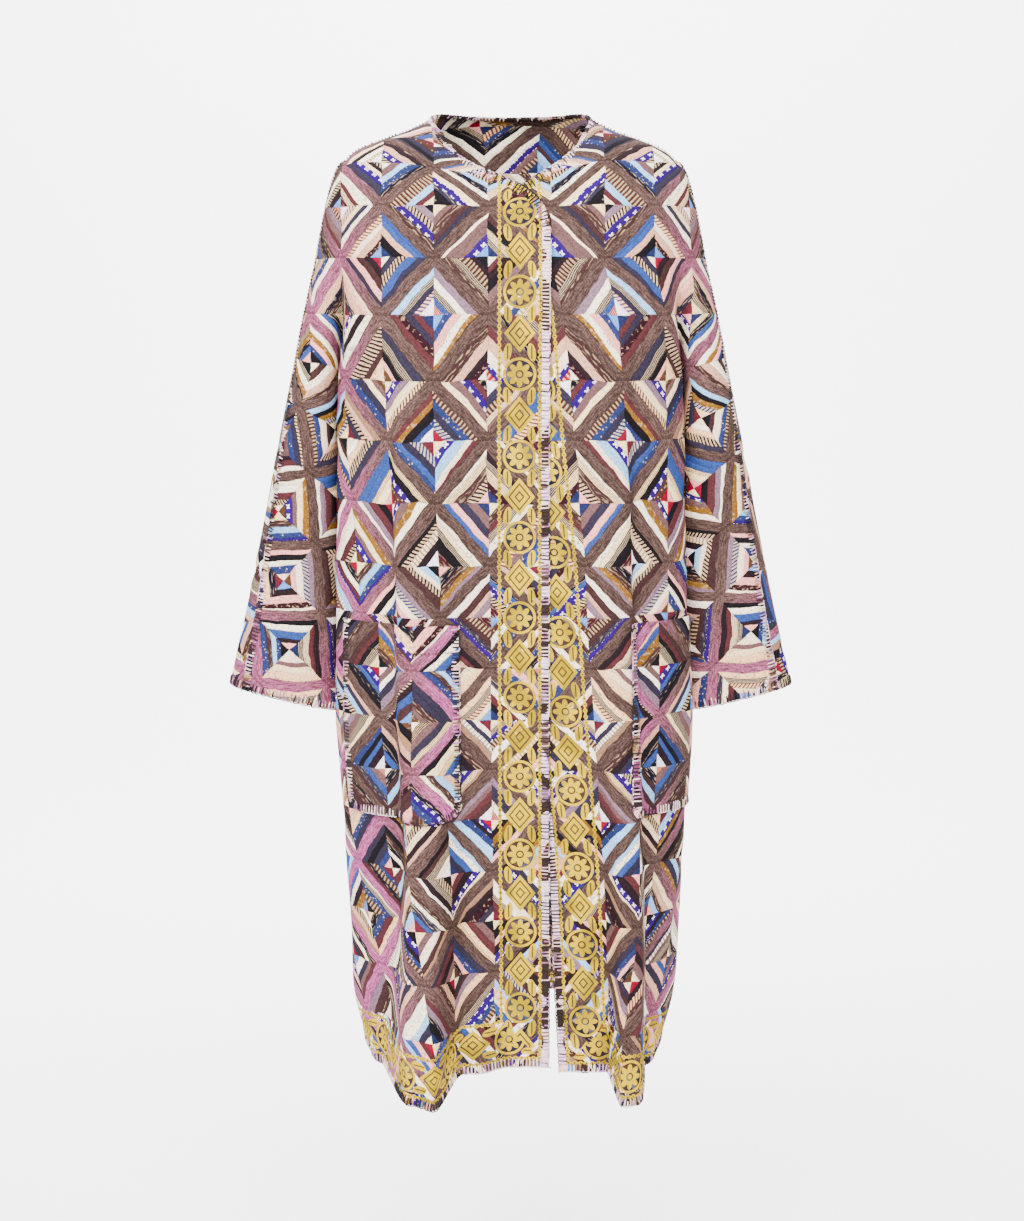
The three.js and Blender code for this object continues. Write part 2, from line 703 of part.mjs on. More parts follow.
const rightFront = {
  side: -1,
  facing: -1,
  columns: RIGHT_FRONT_COLUMNS,
  folds: RIGHT_FRONT_FOLDS,
  hem: HEM_RIGHT_FRONT_Z,
  edge: columnsOf(OVER_EDGE, "z"),
  neckline: columnsOf(OVER_NECKLINE, "turn"),
  pocket: RIGHT_POCKET_COLUMNS,
  lapStep: 0,
};
const leftFront = {
  side: 1,
  facing: -1,
  columns: LEFT_FRONT_COLUMNS,
  folds: LEFT_FRONT_FOLDS,
  hem: HEM_LEFT_FRONT_Z,
  edge: columnsOf(UNDER_EDGE, "z"),
  neckline: columnsOf(UNDER_NECKLINE, "turn"),
  pocket: LEFT_POCKET_COLUMNS,
  lapStep: LAP_STEP,
};
const backHalves = [-1, 1].map((side) => ({
  side,
  facing: 1,
  columns: BACK_COLUMNS,
  folds: BACK_FOLDS,
  hem: HEM_BACK_Z,
  lapStep: 0,
}));

const rightSkin = new Skin();
const rightIds = addHalf(rightSkin, rightFront);
const leftSkin = new Skin();
const leftIds = addHalf(leftSkin, leftFront);
const backSkin = new Skin();
const backIds = addHalf(backSkin, backHalves[0]);
addHalf(backSkin, backHalves[1], backIds.map((row) => row[0]));
findNormals([rightSkin, leftSkin, backSkin]);

const coat = new THREE.Group();
for (const [name, skin, colour] of [
  ["front_right", rightSkin, FRONT_COLOUR],
  ["front_left", leftSkin, FRONT_COLOUR],
  ["back", backSkin, BACK_COLOUR],
]) {
  coat.add(clothMesh(name, makeWall(pullSeams(skin), skin.normals, skin.faces, -WALL, 0), colour));
}
const pockets = [
  ["pocket_right", pocketWall(rightFront, rightSkin, rightIds)],
  ["pocket_left", pocketWall(leftFront, leftSkin, leftIds)],
];
for (const [name, wall] of pockets) {
  coat.add(clothMesh(name, wall, POCKET_COLOUR));
}

export default coat;
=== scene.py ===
import math

import bpy
import numpy as np
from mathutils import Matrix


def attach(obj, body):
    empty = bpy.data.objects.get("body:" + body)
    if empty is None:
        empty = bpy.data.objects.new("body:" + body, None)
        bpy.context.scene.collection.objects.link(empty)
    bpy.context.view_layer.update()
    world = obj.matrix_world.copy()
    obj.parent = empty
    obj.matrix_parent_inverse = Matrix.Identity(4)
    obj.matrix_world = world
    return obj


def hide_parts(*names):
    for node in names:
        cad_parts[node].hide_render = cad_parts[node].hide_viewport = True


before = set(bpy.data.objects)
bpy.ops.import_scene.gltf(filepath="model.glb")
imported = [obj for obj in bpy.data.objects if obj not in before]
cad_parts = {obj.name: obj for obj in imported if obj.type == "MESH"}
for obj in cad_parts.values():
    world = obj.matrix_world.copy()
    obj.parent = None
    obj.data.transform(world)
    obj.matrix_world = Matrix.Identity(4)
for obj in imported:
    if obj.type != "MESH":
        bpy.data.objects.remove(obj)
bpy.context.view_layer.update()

# Patchwork coat of kimono cut: thin cloth shells on the forms of the solids, a pieced string
# patchwork with a printed yellow border, and blanket stitches along every edge.
# Sizes are in millimetres until a mesh is made.

MM = 0.001

# Cloth
WALL = 1.8
POCKET_CLEARANCE = 0.6
POCKET_PUFF = 1.2
FINE_COLUMN = 4.2
FINE_ROW = 6.5
FINE_TURN = 3.0
FINE_POCKET_ROW = 5.0

# Heights
CHEST_Z = -170
CREASE_TOP_Z = -135
UNDERARM_Z = -330
CUFF_Z = -681
HEM_RIGHT_FRONT_Z = -1099
HEM_LEFT_FRONT_Z = -1105
HEM_SIDE_Z = -1110
HEM_BACK_Z = -1092
HEM_RISE = 160
POCKET_TOP_Z = -576
POCKET_BOTTOM_Z = -801
POCKET_MIDDLE_Z = -690
POCKET_CORNER = 17

# Shoulders and armholes
NECK_HALF = 94
SHOULDER_TIP_X = 194
ARMHOLE_X = 196
UNDERARM_DEPTH = 2.8
SLEEVE_SQUARENESS = 2.2
NECK_SPREAD = 0.6
QUARTER_TURN = 90

# The lap of the right front over the left
LAP_STEP = 3.6
LAP_STEP_FROM = 58
LAP_STEP_TO = 105
EDGE_SPREAD_TO = 98

# Large folds
STRAIGHT_OUT_TO = 140
ROUND_OUT_FROM = 195
HEM_FOLD_DROP = 0.22
HEM_SIDE_SHARPNESS = 3

# Lengths round the body
TRUE_GIRTH = 150
SIDE_GIRTH = 290
BACK_NECK_GIRTH = 80
CHEST_SEAM_FORWARD = 12
RING_SAMPLES = 40
OUTER_CORNER = 4


class Table:
    """Rows of named columns, read anywhere along smooth curves through the rows."""

    def __init__(self, names, rows):
        self.columns = dict(zip(names.split(), np.array(rows, float).T))
        self.place = self.columns[names.split()[0]]

    def __call__(self, name, value):
        place, column = self.place, self.columns[name]
        last = len(place) - 1
        order = np.sign(place[-1] - place[0])
        value = np.asarray(value, float)
        i = np.clip(np.searchsorted(place * order, value * order) - 1, 0, last - 1)
        rows = np.arange(last + 1)
        above, below = np.maximum(rows - 1, 0), np.minimum(rows + 1, last)
        slope = (column[below] - column[above]) / (place[below] - place[above])
        span = place[i + 1] - place[i]
        t = np.clip((value - place[i]) / span, 0, 1)
        low = (2 * t**3 - 3 * t**2 + 1) * column[i] + (t**3 - 2 * t**2 + t) * slope[i] * span
        high = (3 * t**2 - 2 * t**3) * column[i + 1] + (t**3 - t**2) * slope[i + 1] * span
        return low + high


# The body's ring, as shares of its half width and of its depth to the front or back
BODY_RING = [
    (0, -1), (0.5, -1), (0.85, -0.75), ("fold", -0.42), ("side", 0),
    (0.99, 0.46), (0.84, 0.78), (0.48, 1), (0, 1),
]
# The ring round body and arms together, above the underarm
ARM_RING = [
    (0, -1), (0.42, -0.98), (0.72, -0.8), (0.91, -0.46), (1, 0),
    (0.91, 0.46), (0.72, 0.82), (0.42, 1), (0, 0.97),
]
BODY_LEVELS = Table("z half fold side arms middle front back", [
    (-170, 198, 1, 0.96, 230, 0, 121, 104),
    (-245, 199, 1, 0.94, 247.5, 0, 125, 112),
    (-330, 201, 1, 0.925, 265, 0, 128, 117),
    (-480, 204, 1, 0.92, 296, 1, 131, 121),
    (-620, 207, 1, 0.93, 322, 2, 132, 122),
    (-700, 209, 1, 0.945, 338, 3, 133, 123),
    (-790, 204, 1, 0.98, 350, 4, 134, 124),
    (-950, 195, 1, 0.98, 370, 5, 134, 126),
    (-1040, 190, 1, 0.98, 380, 4, 134, 128),
    (-1120, 185, 0.91, 0.98, 390, 3, 134, 130),
])
SLEEVE_LEVELS = Table("z inner outer deep tilt seam_turn", [
    (-170, 192, 230, 150, 0, 22),
    (-330, 198, 265, 132, 0, 34),
    (-450, 198, 289, 98, 0.08, 38),
    (-570, 201, 313, 78, 0.17, 42),
    (-681, 206, 337.5, 66, 0.245, 44),
])
RIDGE = Table("x z", [(94, -3), (104, -7.5), (120, -15), (150, -25.5), (180, -38), (194, -51)])
OVER_NECKLINE = Table("turn reach", [
    (0, 0), (17, 0.03), (34, 0.11), (47, 0.34), (53, 0.56), (58, 0.76), (65, 0.92), (76, 1), (90, 1),
])
UNDER_NECKLINE = Table("turn reach", [
    (0, 0), (17, 0.03), (34, 0.11), (47, 0.34), (56, 0.62), (65, 0.85), (76, 1), (90, 1),
])
BACK_NECK = [(0, 58, 4.5), (50, 53, 5.5), (82, 35, 6.5), (92, 15, 2.5), (94, 0, -3)]
OVER_EDGE = Table("z x", [(-165, -44), (-620, -41.5), (-860, -39.5), (-1105, -41)])
UNDER_EDGE = Table("z x", [
    (-165, -25), (-227, -9), (-368, 3), (-502, 16), (-628, 24), (-750, 32), (-876, 41),
    (-1003, 47.5), (-1105, 54.5),
])

# Large folds, a table for each, a row for each level
FOLD_COLUMNS = "z at inner outer flat out lean"
RIGHT_FRONT_FOLDS = [
    Table(FOLD_COLUMNS, [
        (-200, 118, 60, 24, 0.3, 0, 0),
        (-420, 116, 58, 25, 0.3, 12, 7),
        (-640, 109, 56, 27, 0.3, 20, 9),
        (-850, 102, 52, 32, 0.3, 38, 10),
        (-1000, 104, 48, 46, 0.3, 62, 6),
        (-1120, 103, 44, 66, 0.25, 82, 0),
    ]),
    Table(FOLD_COLUMNS, [(-800, 58, 55, 60, 0.3, 0, 0), (-1120, 58, 55, 60, 0.3, 14, 0)]),
]
LEFT_FRONT_FOLDS = [
    Table(FOLD_COLUMNS, [
        (-220, 124, 56, 20, 0.3, 0, 0),
        (-420, 124, 54, 20, 0.3, 9, 4),
        (-640, 126, 46, 20, 0.3, 17, 6),
        (-850, 133, 38, 22, 0.35, 36, 6),
        (-1000, 137, 31, 24, 0.42, 57, 3),
        (-1120, 138, 27, 28, 0.42, 79, 0),
    ]),
]
BACK_FOLDS = [
    Table(FOLD_COLUMNS, [
        (-420, 44, 44, 44, 0.3, 0, 0),
        (-800, 46, 44, 44, 0.3, 12, 0),
        (-1120, 48, 44, 44, 0.3, 32, 0),
    ]),
    Table(FOLD_COLUMNS, [
        (-560, 134, 40, 40, 0.3, 0, 0),
        (-860, 136, 42, 42, 0.3, 16, 0),
        (-1120, 138, 44, 44, 0.3, 46, 0),
    ]),
]

# Small creases, soft troughs given one by one: each runs from one place on the cloth to another, by
# length from the centre front or back and height; on a sleeve by the share of the way across it
CREASE_COLUMNS = ("at", "z", "to_at", "to_z", "width", "depth")
FRONT_CREASES = [
    (262, -322, 168, -392, 9, 2.0),
    (270, -350, 205, -455, 10, 1.8),
    (275, -395, 232, -520, 9, 1.4),
    (150, -190, 176, -292, 11, 1.6),
    (196, -176, 214, -300, 10, 1.8),
    (96, -236, 128, -330, 12, 1.0),
    (20, -420, 66, -436, 10, 0.9),
    (70, -520, 32, -548, 9, 0.8),
    (228, -560, 240, -760, 11, 1.9),
    (170, -830, 182, -1010, 12, 2.2),
    (226, -850, 216, -1040, 12, 2.6),
    (256, -720, 262, -930, 10, 1.8),
    (8, -700, 52, -716, 9, 0.8),
    (60, -905, 18, -930, 11, 1.0),
    (30, -1010, 64, -1084, 10, 1.3),
]
BACK_CREASES = [
    (30, -60, 120, -120, 14, 1.4),
    (268, -300, 150, -250, 10, 1.8),
    (274, -340, 190, -420, 10, 2.0),
    (278, -390, 228, -540, 10, 1.5),
    (90, -250, 40, -330, 13, 1.2),
    (110, -420, 60, -560, 12, 1.4),
    (200, -600, 214, -860, 12, 2.0),
    (92, -760, 96, -1080, 11, 2.2),
    (238, -740, 232, -1040, 12, 2.2),
    (6, -300, 22, -380, 12, 1.0),
    (150, -330, 172, -480, 11, 1.2),
]
SLEEVE_CREASES = [
    (0.05, -352, 0.55, -410, 9, 2.3),
    (0.02, -402, 0.62, -432, 8, 2.0),
    (0.95, -372, 0.45, -452, 10, 1.8),
    (0.10, -478, 0.70, -500, 9, 2.0),
    (0.92, -520, 0.42, -548, 9, 1.5),
    (0.15, -570, 0.60, -612, 9, 1.6),
    (0.80, -240, 0.30, -318, 11, 1.8),
    (0.85, -610, 0.55, -662, 9, 1.2),
]
SLEEVE_WIDTH_FOR_CREASES = 110
CREASE_SHIFT = 14

SHOULDER_TURNS = [0, 17, 34, 47, 56, 65, 76, 90]
CHEST_ROWS = [-210, -250, -290, UNDERARM_Z]
BODY_ROWS = [-372, -576, -801, -1110]
LOWEST_ROW = -1110

# The patchwork's blocks: heights of their rows down the body, and their width by height
BLOCK_ROWS = [
    -102, -162, -226, -300, -367, -438, -509, -567, -627, -686, -746, -803, -863, -923, -984,
    -1046, -1107, -1168,
]
BLOCK_WIDTH = Table("z width", [(-170, 61), (-370, 61), (-560, 58), (-800, 57), (-1120, 55)])
BLOCK = 60
SLEEVE_TURN_FROM = -215
SLEEVE_TURN_TO = -400
SLEEVE_PATTERN_TURN = 34
PATTERN_REFERENCE = 110


def linked(name, data):
    """A new object in the scene, with its origin at the scene's."""
    thing = bpy.data.objects.new(name, data)
    bpy.context.collection.objects.link(thing)
    return thing


def new_mesh(name, vertices, faces):
    mesh = bpy.data.meshes.new(name)
    mesh.from_pydata(vertices, [], faces)
    mesh.polygons.foreach_set("use_smooth", [True] * len(mesh.polygons))
    return mesh


def smoothstep(start, end, value):
    t = np.clip((np.asarray(value, float) - start) / (end - start), 0, 1)
    return t * t * (3 - 2 * t)


def lerp(a, b, t):
    return a + (b - a) * t


def refine(values, step):
    """The values with as many more between each two as keep them a step apart at most."""
    out = [float(values[0])]
    for a, b in zip(values, values[1:]):
        count = max(1, math.ceil(abs(b - a) / step - 1e-9))
        out += [a + (b - a) * k / count for k in range(1, count + 1)]
    return out


def running_length(points, axis=0):
    """Lengths along a line of points, or down (0) or across (1) a grid of them, from its start."""
    steps = np.linalg.norm(np.diff(points, axis=axis), axis=-1)
    start = np.zeros_like(np.take(steps, [0], axis))
    return np.concatenate([start, np.cumsum(steps, axis=axis)], axis)


def curve_through(p0, p1, p2, p3, samples):
    """Centripetal curve pieces from each p1 to its p2."""
    def root(a, b):
        return np.linalg.norm(b - a, axis=1, keepdims=True) ** 0.5

    d0, d1, d2 = root(p0, p1), root(p1, p2), root(p2, p3)
    t1 = ((p1 - p0) / d0 - (p2 - p0) / (d0 + d1) + (p2 - p1) / d1) * d1
    t2 = ((p2 - p1) / d1 - (p3 - p1) / (d1 + d2) + (p3 - p2) / d2) * d1
    t = (np.arange(samples) / samples)[None, :, None]
    p1, p2, t1, t2 = (a[:, None] for a in (p1, p2, t1, t2))
    pieces = (
        (2 * t**3 - 3 * t**2 + 1) * p1 + (t**3 - 2 * t**2 + t) * t1
        + (3 * t**2 - 2 * t**3) * p2 + (t**3 - t**2) * t2
    )
    return pieces.reshape(-1, pieces.shape[-1])


class Ring:
    """A closed ring seen from above, whose points are found by length from the centre front."""

    def __init__(self, corners, half, z):
        row = []
        for across, along in corners:
            share = float(BODY_LEVELS(across, z)) if isinstance(across, str) else across
            depth = float(BODY_LEVELS("front" if along < 0 else "back", z))
            row.append((share * half, along * depth))
        row = np.array(row + [(-x, y) for x, y in row[-2:0:-1]])
        points = curve_through(
            np.roll(row, 1, 0), row, np.roll(row, -1, 0), np.roll(row, -2, 0), RING_SAMPLES
        )
        self.points = np.vstack([points, points[:1]])
        self.lengths = running_length(self.points)
        self.total = self.lengths[-1]
        self.half = self.total / 2
        past = np.nonzero(self.points[:, 0] >= ARMHOLE_X)[0]
        self.armhole_front, self.armhole_back = (
            (self.lengths[past[0]], self.lengths[past[-1]]) if len(past) else (0, 0)
        )

    def length_to(self, corner):
        return self.lengths[RING_SAMPLES * corner]

    def at(self, length):
        wanted = np.mod(length, self.total)
        return np.stack([np.interp(wanted, self.lengths, self.points[:, k]) for k in (0, 1)], -1)


rings = {}


def rings_at(z):
    if z not in rings:
        rings[z] = (
            Ring(BODY_RING, float(BODY_LEVELS("half", z)), z),
            Ring(ARM_RING, float(BODY_LEVELS("arms", z)), z),
        )
    return rings[z]


def fold_shift(folds, z, length):
    """How far folds bring the cloth out and along at lengths round the body."""
    out, lean = np.zeros_like(length), np.zeros_like(length)
    for fold in folds:
        away = length - fold("at", z)
        width = np.where(away < 0, fold("inner", z), fold("outer", z))
        rise = 1 - smoothstep(float(fold("flat", z)), 1, np.abs(away / width))
        out += max(float(fold("out", z)), 0) * rise
        lean += fold("lean", z) * rise
    return out, lean


def parting(z):
    """How far body and sleeve have parted at a height, from 0 to 1."""
    return float(smoothstep(CREASE_TOP_Z, UNDERARM_Z, z))


def ring_length(length, ring_side):
    """The place on a ring, true near the middle and then spread to reach the ring's side."""
    beyond = np.maximum(length - TRUE_GIRTH, 0)
    stretch = (ring_side - TRUE_GIRTH) / (SIDE_GIRTH - TRUE_GIRTH)
    return np.minimum(length, TRUE_GIRTH) + beyond * stretch


def body_points(panel, z, length):
    """Points of the body's cloth on its own side, at a level."""
    length = np.asarray(length, float)
    body_ring, arm_ring = rings_at(z)
    is_front = panel["facing"] < 0
    side_length = body_ring.length_to(OUTER_CORNER)
    along = ring_length(length, side_length if is_front else body_ring.half - side_length)

    def from_front(ring, l):
        return ring.at(l if is_front else ring.half - l)

    parted = from_front(body_ring, along)
    joined_side = arm_ring.armhole_front if is_front else arm_ring.half - arm_ring.armhole_back
    joined = from_front(arm_ring, ring_length(length, joined_side)) if z > UNDERARM_Z else parted
    point = lerp(joined, parted, parting(z))
    tangent = from_front(body_ring, along + 1) - from_front(body_ring, along - 1)
    tangent /= np.linalg.norm(tangent, axis=-1, keepdims=True)
    outward = np.stack([-tangent[..., 1], tangent[..., 0]], -1) * (-1 if is_front else 1)
    roundness = smoothstep(STRAIGHT_OUT_TO, ROUND_OUT_FROM, np.abs(parted[..., 0]))[..., None]
    out_of_fold = lerp(np.array([0.0, panel["facing"]]), outward, roundness)
    out, lean = fold_shift(panel["folds"], z, length)
    step = panel["lap_step"] * (1 - smoothstep(LAP_STEP_FROM, LAP_STEP_TO, length))
    point = point + out_of_fold * out[..., None] - outward * step[..., None]
    point = point + tangent * lean[..., None]
    point[..., 0] += BODY_LEVELS("middle", z) * panel["side"]
    return np.concatenate([point, np.full(point.shape[:-1] + (1,), float(z))], -1)


def crease_point(panel, z):
    """Where the crease between body and sleeve is deepest."""
    arm_ring = rings_at(z)[1]
    joined = arm_ring.at(arm_ring.armhole_front if panel["facing"] < 0 else arm_ring.armhole_back)
    body_side = BODY_LEVELS("half", z) * BODY_LEVELS("side", z)
    body_side = body_side + BODY_LEVELS("middle", z) * panel["side"]
    bottom = np.array([
        (body_side + SLEEVE_LEVELS("inner", z)) / 2, UNDERARM_DEPTH * panel["facing"],
    ])
    x, y = lerp(joined, bottom, parting(z))
    return np.array([x, y, z])


def power(value, exponent):
    return np.sign(value) * np.abs(value) ** exponent


def sleeve_points(panel, z, share):
    """Points of the sleeve's cloth: share 0 is the underarm seam and 1 the overarm seam."""
    inner, outer, deep, tilt, seam_turn = (
        float(SLEEVE_LEVELS(name, z)) for name in ("inner", "outer", "deep", "tilt", "seam_turn")
    )
    turn = np.radians(lerp(180, seam_turn * (1 if panel["facing"] < 0 else -1), share))
    middle = (inner + outer) / 2
    x = middle + (outer - inner) / 2 * power(np.cos(turn), 2 / SLEEVE_SQUARENESS)
    y = panel["facing"] * deep / 2 * power(np.sin(turn), 2 / SLEEVE_SQUARENESS)
    parted = np.stack([x, y, z + tilt * (x - middle)], -1)
    if z <= UNDERARM_Z:
        return parted
    arm_ring = rings_at(z)[1]
    start = arm_ring.armhole_front if panel["facing"] < 0 else arm_ring.armhole_back
    seam = arm_ring.length_to(OUTER_CORNER) - CHEST_SEAM_FORWARD
    joined = arm_ring.at(lerp(start, seam, share))
    joined = np.concatenate([joined, np.full((len(share), 1), float(z))], 1)
    return lerp(joined, parted, parting(z))


def lower_body_points(panel, z, length):
    """The same with the hem's own line: its sides and folds hang lower."""
    point = body_points(panel, z, length)
    out, _ = fold_shift(panel["folds"], z, np.asarray(length, float))
    side = np.minimum(np.abs(point[..., 0]) / BODY_LEVELS("half", HEM_SIDE_Z), 1)
    hem = lerp(panel["hem"], HEM_SIDE_Z, side**HEM_SIDE_SHARPNESS)
    drop = hem - LOWEST_ROW - HEM_FOLD_DROP * out
    point[..., 2] += drop * smoothstep(LOWEST_ROW + HEM_RISE, LOWEST_ROW, z)
    return point


def neck_curve(fraction):
    """Points along the back's neckline, from its middle to the shoulder."""
    p = np.array(BACK_NECK, float)
    p = np.vstack([2 * p[0] - p[1], p, 2 * p[-1] - p[-2]])
    points = np.vstack([curve_through(p[:-3], p[1:-2], p[2:-1], p[3:], 50), p[-2:-1]])
    lengths = running_length(points)
    return np.stack([np.interp(fraction * lengths[-1], lengths, points[:, k]) for k in range(3)], -1)


def panel_rows(panel):
    """One half of the cloth's outer skin, as rows of points over the body and over the sleeve."""
    columns = np.array(panel["columns"])
    first = BACK_NECK_GIRTH if panel["facing"] > 0 else columns[0]

    def lengths_at(z):
        if panel["edge"] is None:
            return columns
        share = (columns - columns[0]) / (EDGE_SPREAD_TO - columns[0])
        spread = lerp(panel["edge"]("x", z), EDGE_SPREAD_TO, share)
        return np.where(columns < EDGE_SPREAD_TO, spread, columns)

    chest_body = body_points(panel, CHEST_Z, lengths_at(CHEST_Z))
    chest_body[-1] = crease_point(panel, CHEST_Z)
    chest_sleeve = sleeve_points(panel, CHEST_Z, SLEEVE_SHARES)
    chest_sleeve[0] = chest_body[-1]
    across = np.maximum(columns - first, 0) / (columns[-1] - first)
    top_x = lerp(NECK_HALF, SHOULDER_TIP_X, across)
    top = np.stack([top_x, np.zeros_like(top_x), RIDGE("z", top_x)], -1)
    if panel["facing"] > 0:
        at_neck = columns < BACK_NECK_GIRTH
        top[at_neck] = neck_curve(columns[at_neck] / BACK_NECK_GIRTH)
    body_rows, sleeve_rows = [], []
    for turn in refine(SHOULDER_TURNS, FINE_TURN):
        angle, straight = math.radians(turn), turn / QUARTER_TURN
        reach = np.full_like(columns, straight)
        if panel["facing"] < 0:
            reach = lerp(panel["neckline"]("reach", turn), straight, across**NECK_SPREAD)
        turns = (math.sin(angle), 1 - math.cos(angle))
        body_rows.append(np.stack([
            lerp(top[:, 0], chest_body[:, 0], reach),
            lerp(top[:, 1], chest_body[:, 1], turns[0]),
            lerp(top[:, 2], chest_body[:, 2], turns[1]),
        ], -1))
        sleeve_rows.append(np.stack([
            lerp(top[-1, 0], chest_sleeve[:, 0], straight),
            lerp(top[-1, 1], chest_sleeve[:, 1], turns[0]),
            lerp(top[-1, 2], chest_sleeve[:, 2], turns[1]),
        ], -1))
    shoulder_rows = len(body_rows)
    for z in refine([CHEST_Z] + CHEST_ROWS, FINE_ROW)[1:]:
        row = body_points(panel, z, lengths_at(z))
        row[-1] = crease_point(panel, z)
        body_rows.append(row)
        sleeve = sleeve_points(panel, z, SLEEVE_SHARES)
        sleeve[0] = row[-1]
        sleeve_rows.append(sleeve)
    joined_rows = len(body_rows)
    body_z = refine([UNDERARM_Z] + BODY_ROWS, FINE_ROW)[1:]
    body_rows += [lower_body_points(panel, z, lengths_at(z)) for z in body_z]
    sleeve_z = refine([UNDERARM_Z, CUFF_Z], FINE_ROW)[1:]
    sleeve_rows += [sleeve_points(panel, z, SLEEVE_SHARES) for z in sleeve_z]
    return np.array(body_rows), np.array(sleeve_rows), shoulder_rows, joined_rows


def block_row(z):
    """The number of the block row at a height, 0 at the first one."""
    return np.interp(-z, [-v for v in BLOCK_ROWS], np.arange(len(BLOCK_ROWS)))


def body_pattern(panel, body, shoulder_rows):
    """The places of the body's points in the patchwork, counted in blocks."""
    along = running_length(body, 1)
    chest = shoulder_rows - 1
    width = BLOCK_WIDTH("width", np.minimum(body[..., 2], CHEST_Z))
    reference = int(np.argmin(np.abs(np.array(panel["columns"]) - PATTERN_REFERENCE)))
    start = body[chest, 0, 0] if panel["edge"] is not None else 0.0
    across = along.copy()
    for j in range(chest):
        across[j] = along[j] - along[j, reference] + body[j, reference, 0] - start
        if panel["edge"] is None:
            across[j, :reference] = along[j, :reference] * body[j, reference, 0] / along[j, reference]
    down = running_length(body)
    rows = block_row(body[..., 2])
    for j in range(chest):
        rows[j] = rows[chest] - (down[chest] - down[j]) / BLOCK
    return np.stack([(across - panel["first_block"]) / width, rows - panel["block_drop"]], -1), across


def sleeve_pattern(sleeve, body_blocks):
    """The sleeve's places in the patchwork: on from the body's at the top, turned below."""
    along = running_length(sleeve, 1)
    middle = along[:, -1] / 2
    centre_line = sleeve[:, sleeve.shape[1] // 2]
    steps = np.linalg.norm(np.diff(centre_line, axis=0), axis=1)
    heights = centre_line[:, 2]
    turns = np.radians(SLEEVE_PATTERN_TURN) * smoothstep(SLEEVE_TURN_FROM, SLEEVE_TURN_TO, heights)
    out = np.zeros(sleeve.shape[:2] + (2,))
    centre = None
    for j in range(len(sleeve)):
        cos, sin = math.cos(turns[j]), math.sin(turns[j])
        if turns[j] == 0:
            centre = body_blocks[j, -1] * BLOCK + np.array([middle[j], 0])
        else:
            centre = centre + steps[j - 1] * np.array([-sin, cos])
        s = (along[j] - middle[j])[:, None]
        out[j] = (centre + s * np.array([cos, sin])) / BLOCK
    return out


def laid_creases(creases, across, heights):
    """How far the small creases sink the cloth, at places across and down it."""
    sunk = np.zeros_like(across)
    for row in creases:
        crease = dict(zip(CREASE_COLUMNS, row))
        a = np.array([crease["at"], crease["z"]])
        b = np.array([crease["to_at"], crease["to_z"]])
        way = b - a
        t = ((across - a[0]) * way[0] + (heights - a[1]) * way[1]) / (way @ way)
        near = np.clip(t, 0, 1)
        bow = 0.06 * np.linalg.norm(way) * np.sin(np.pi * near)
        off_x = across - (a[0] + near * way[0]) - bow * way[1] / np.linalg.norm(way)
        off_z = heights - (a[1] + near * way[1]) + bow * way[0] / np.linalg.norm(way)
        distance = np.hypot(off_x, off_z) / crease["width"]
        taper = np.sin(np.pi * np.clip(t * 0.9 + 0.05, 0, 1)) ** 0.7
        trough, lip = np.exp(-(distance**2)), np.exp(-((distance - 1.7) ** 2))
        sunk += crease["depth"] * taper * (trough - 0.45 * lip)
    return sunk


class Skin:
    """The outer skin of one piece: points, faces, and each corner's place in the patchwork."""

    def __init__(self):
        self.points, self.faces, self.corners = [], [], []
        self.values = {}
        self.ridge, self.creases = set(), {}

    def add_grid(self, grid, first_ids, **values):
        """Adds rows of points with their values. Some rows start from a point already there."""
        ids = np.zeros(grid.shape[:2], int)
        for row, first in enumerate(first_ids):
            skip = 0
            if first is not None:
                ids[row, 0], skip = first, 1
            start = len(self.points)
            self.points += list(grid[row, skip:])
            ids[row, skip:] = np.arange(start, len(self.points))
            for key, value in values.items():
                own = np.broadcast_to(value, ids.shape)[row, skip:]
                self.values.setdefault(key, []).extend(own)
        return ids

    def quad(self, ids, blocks, flip):
        """Adds a face of four points, or of three where two of them are one."""
        kept, seen = [], set()
        for v, block in zip(ids, blocks):
            if v not in seen:
                seen.add(v)
                kept.append((int(v), tuple(block)))
        if len(kept) > 2:
            if flip:
                kept.reverse()
            self.faces.append([v for v, _ in kept])
            self.corners += [block for _, block in kept]


FAR = 1000.0
SHARP_ANGLE = 55


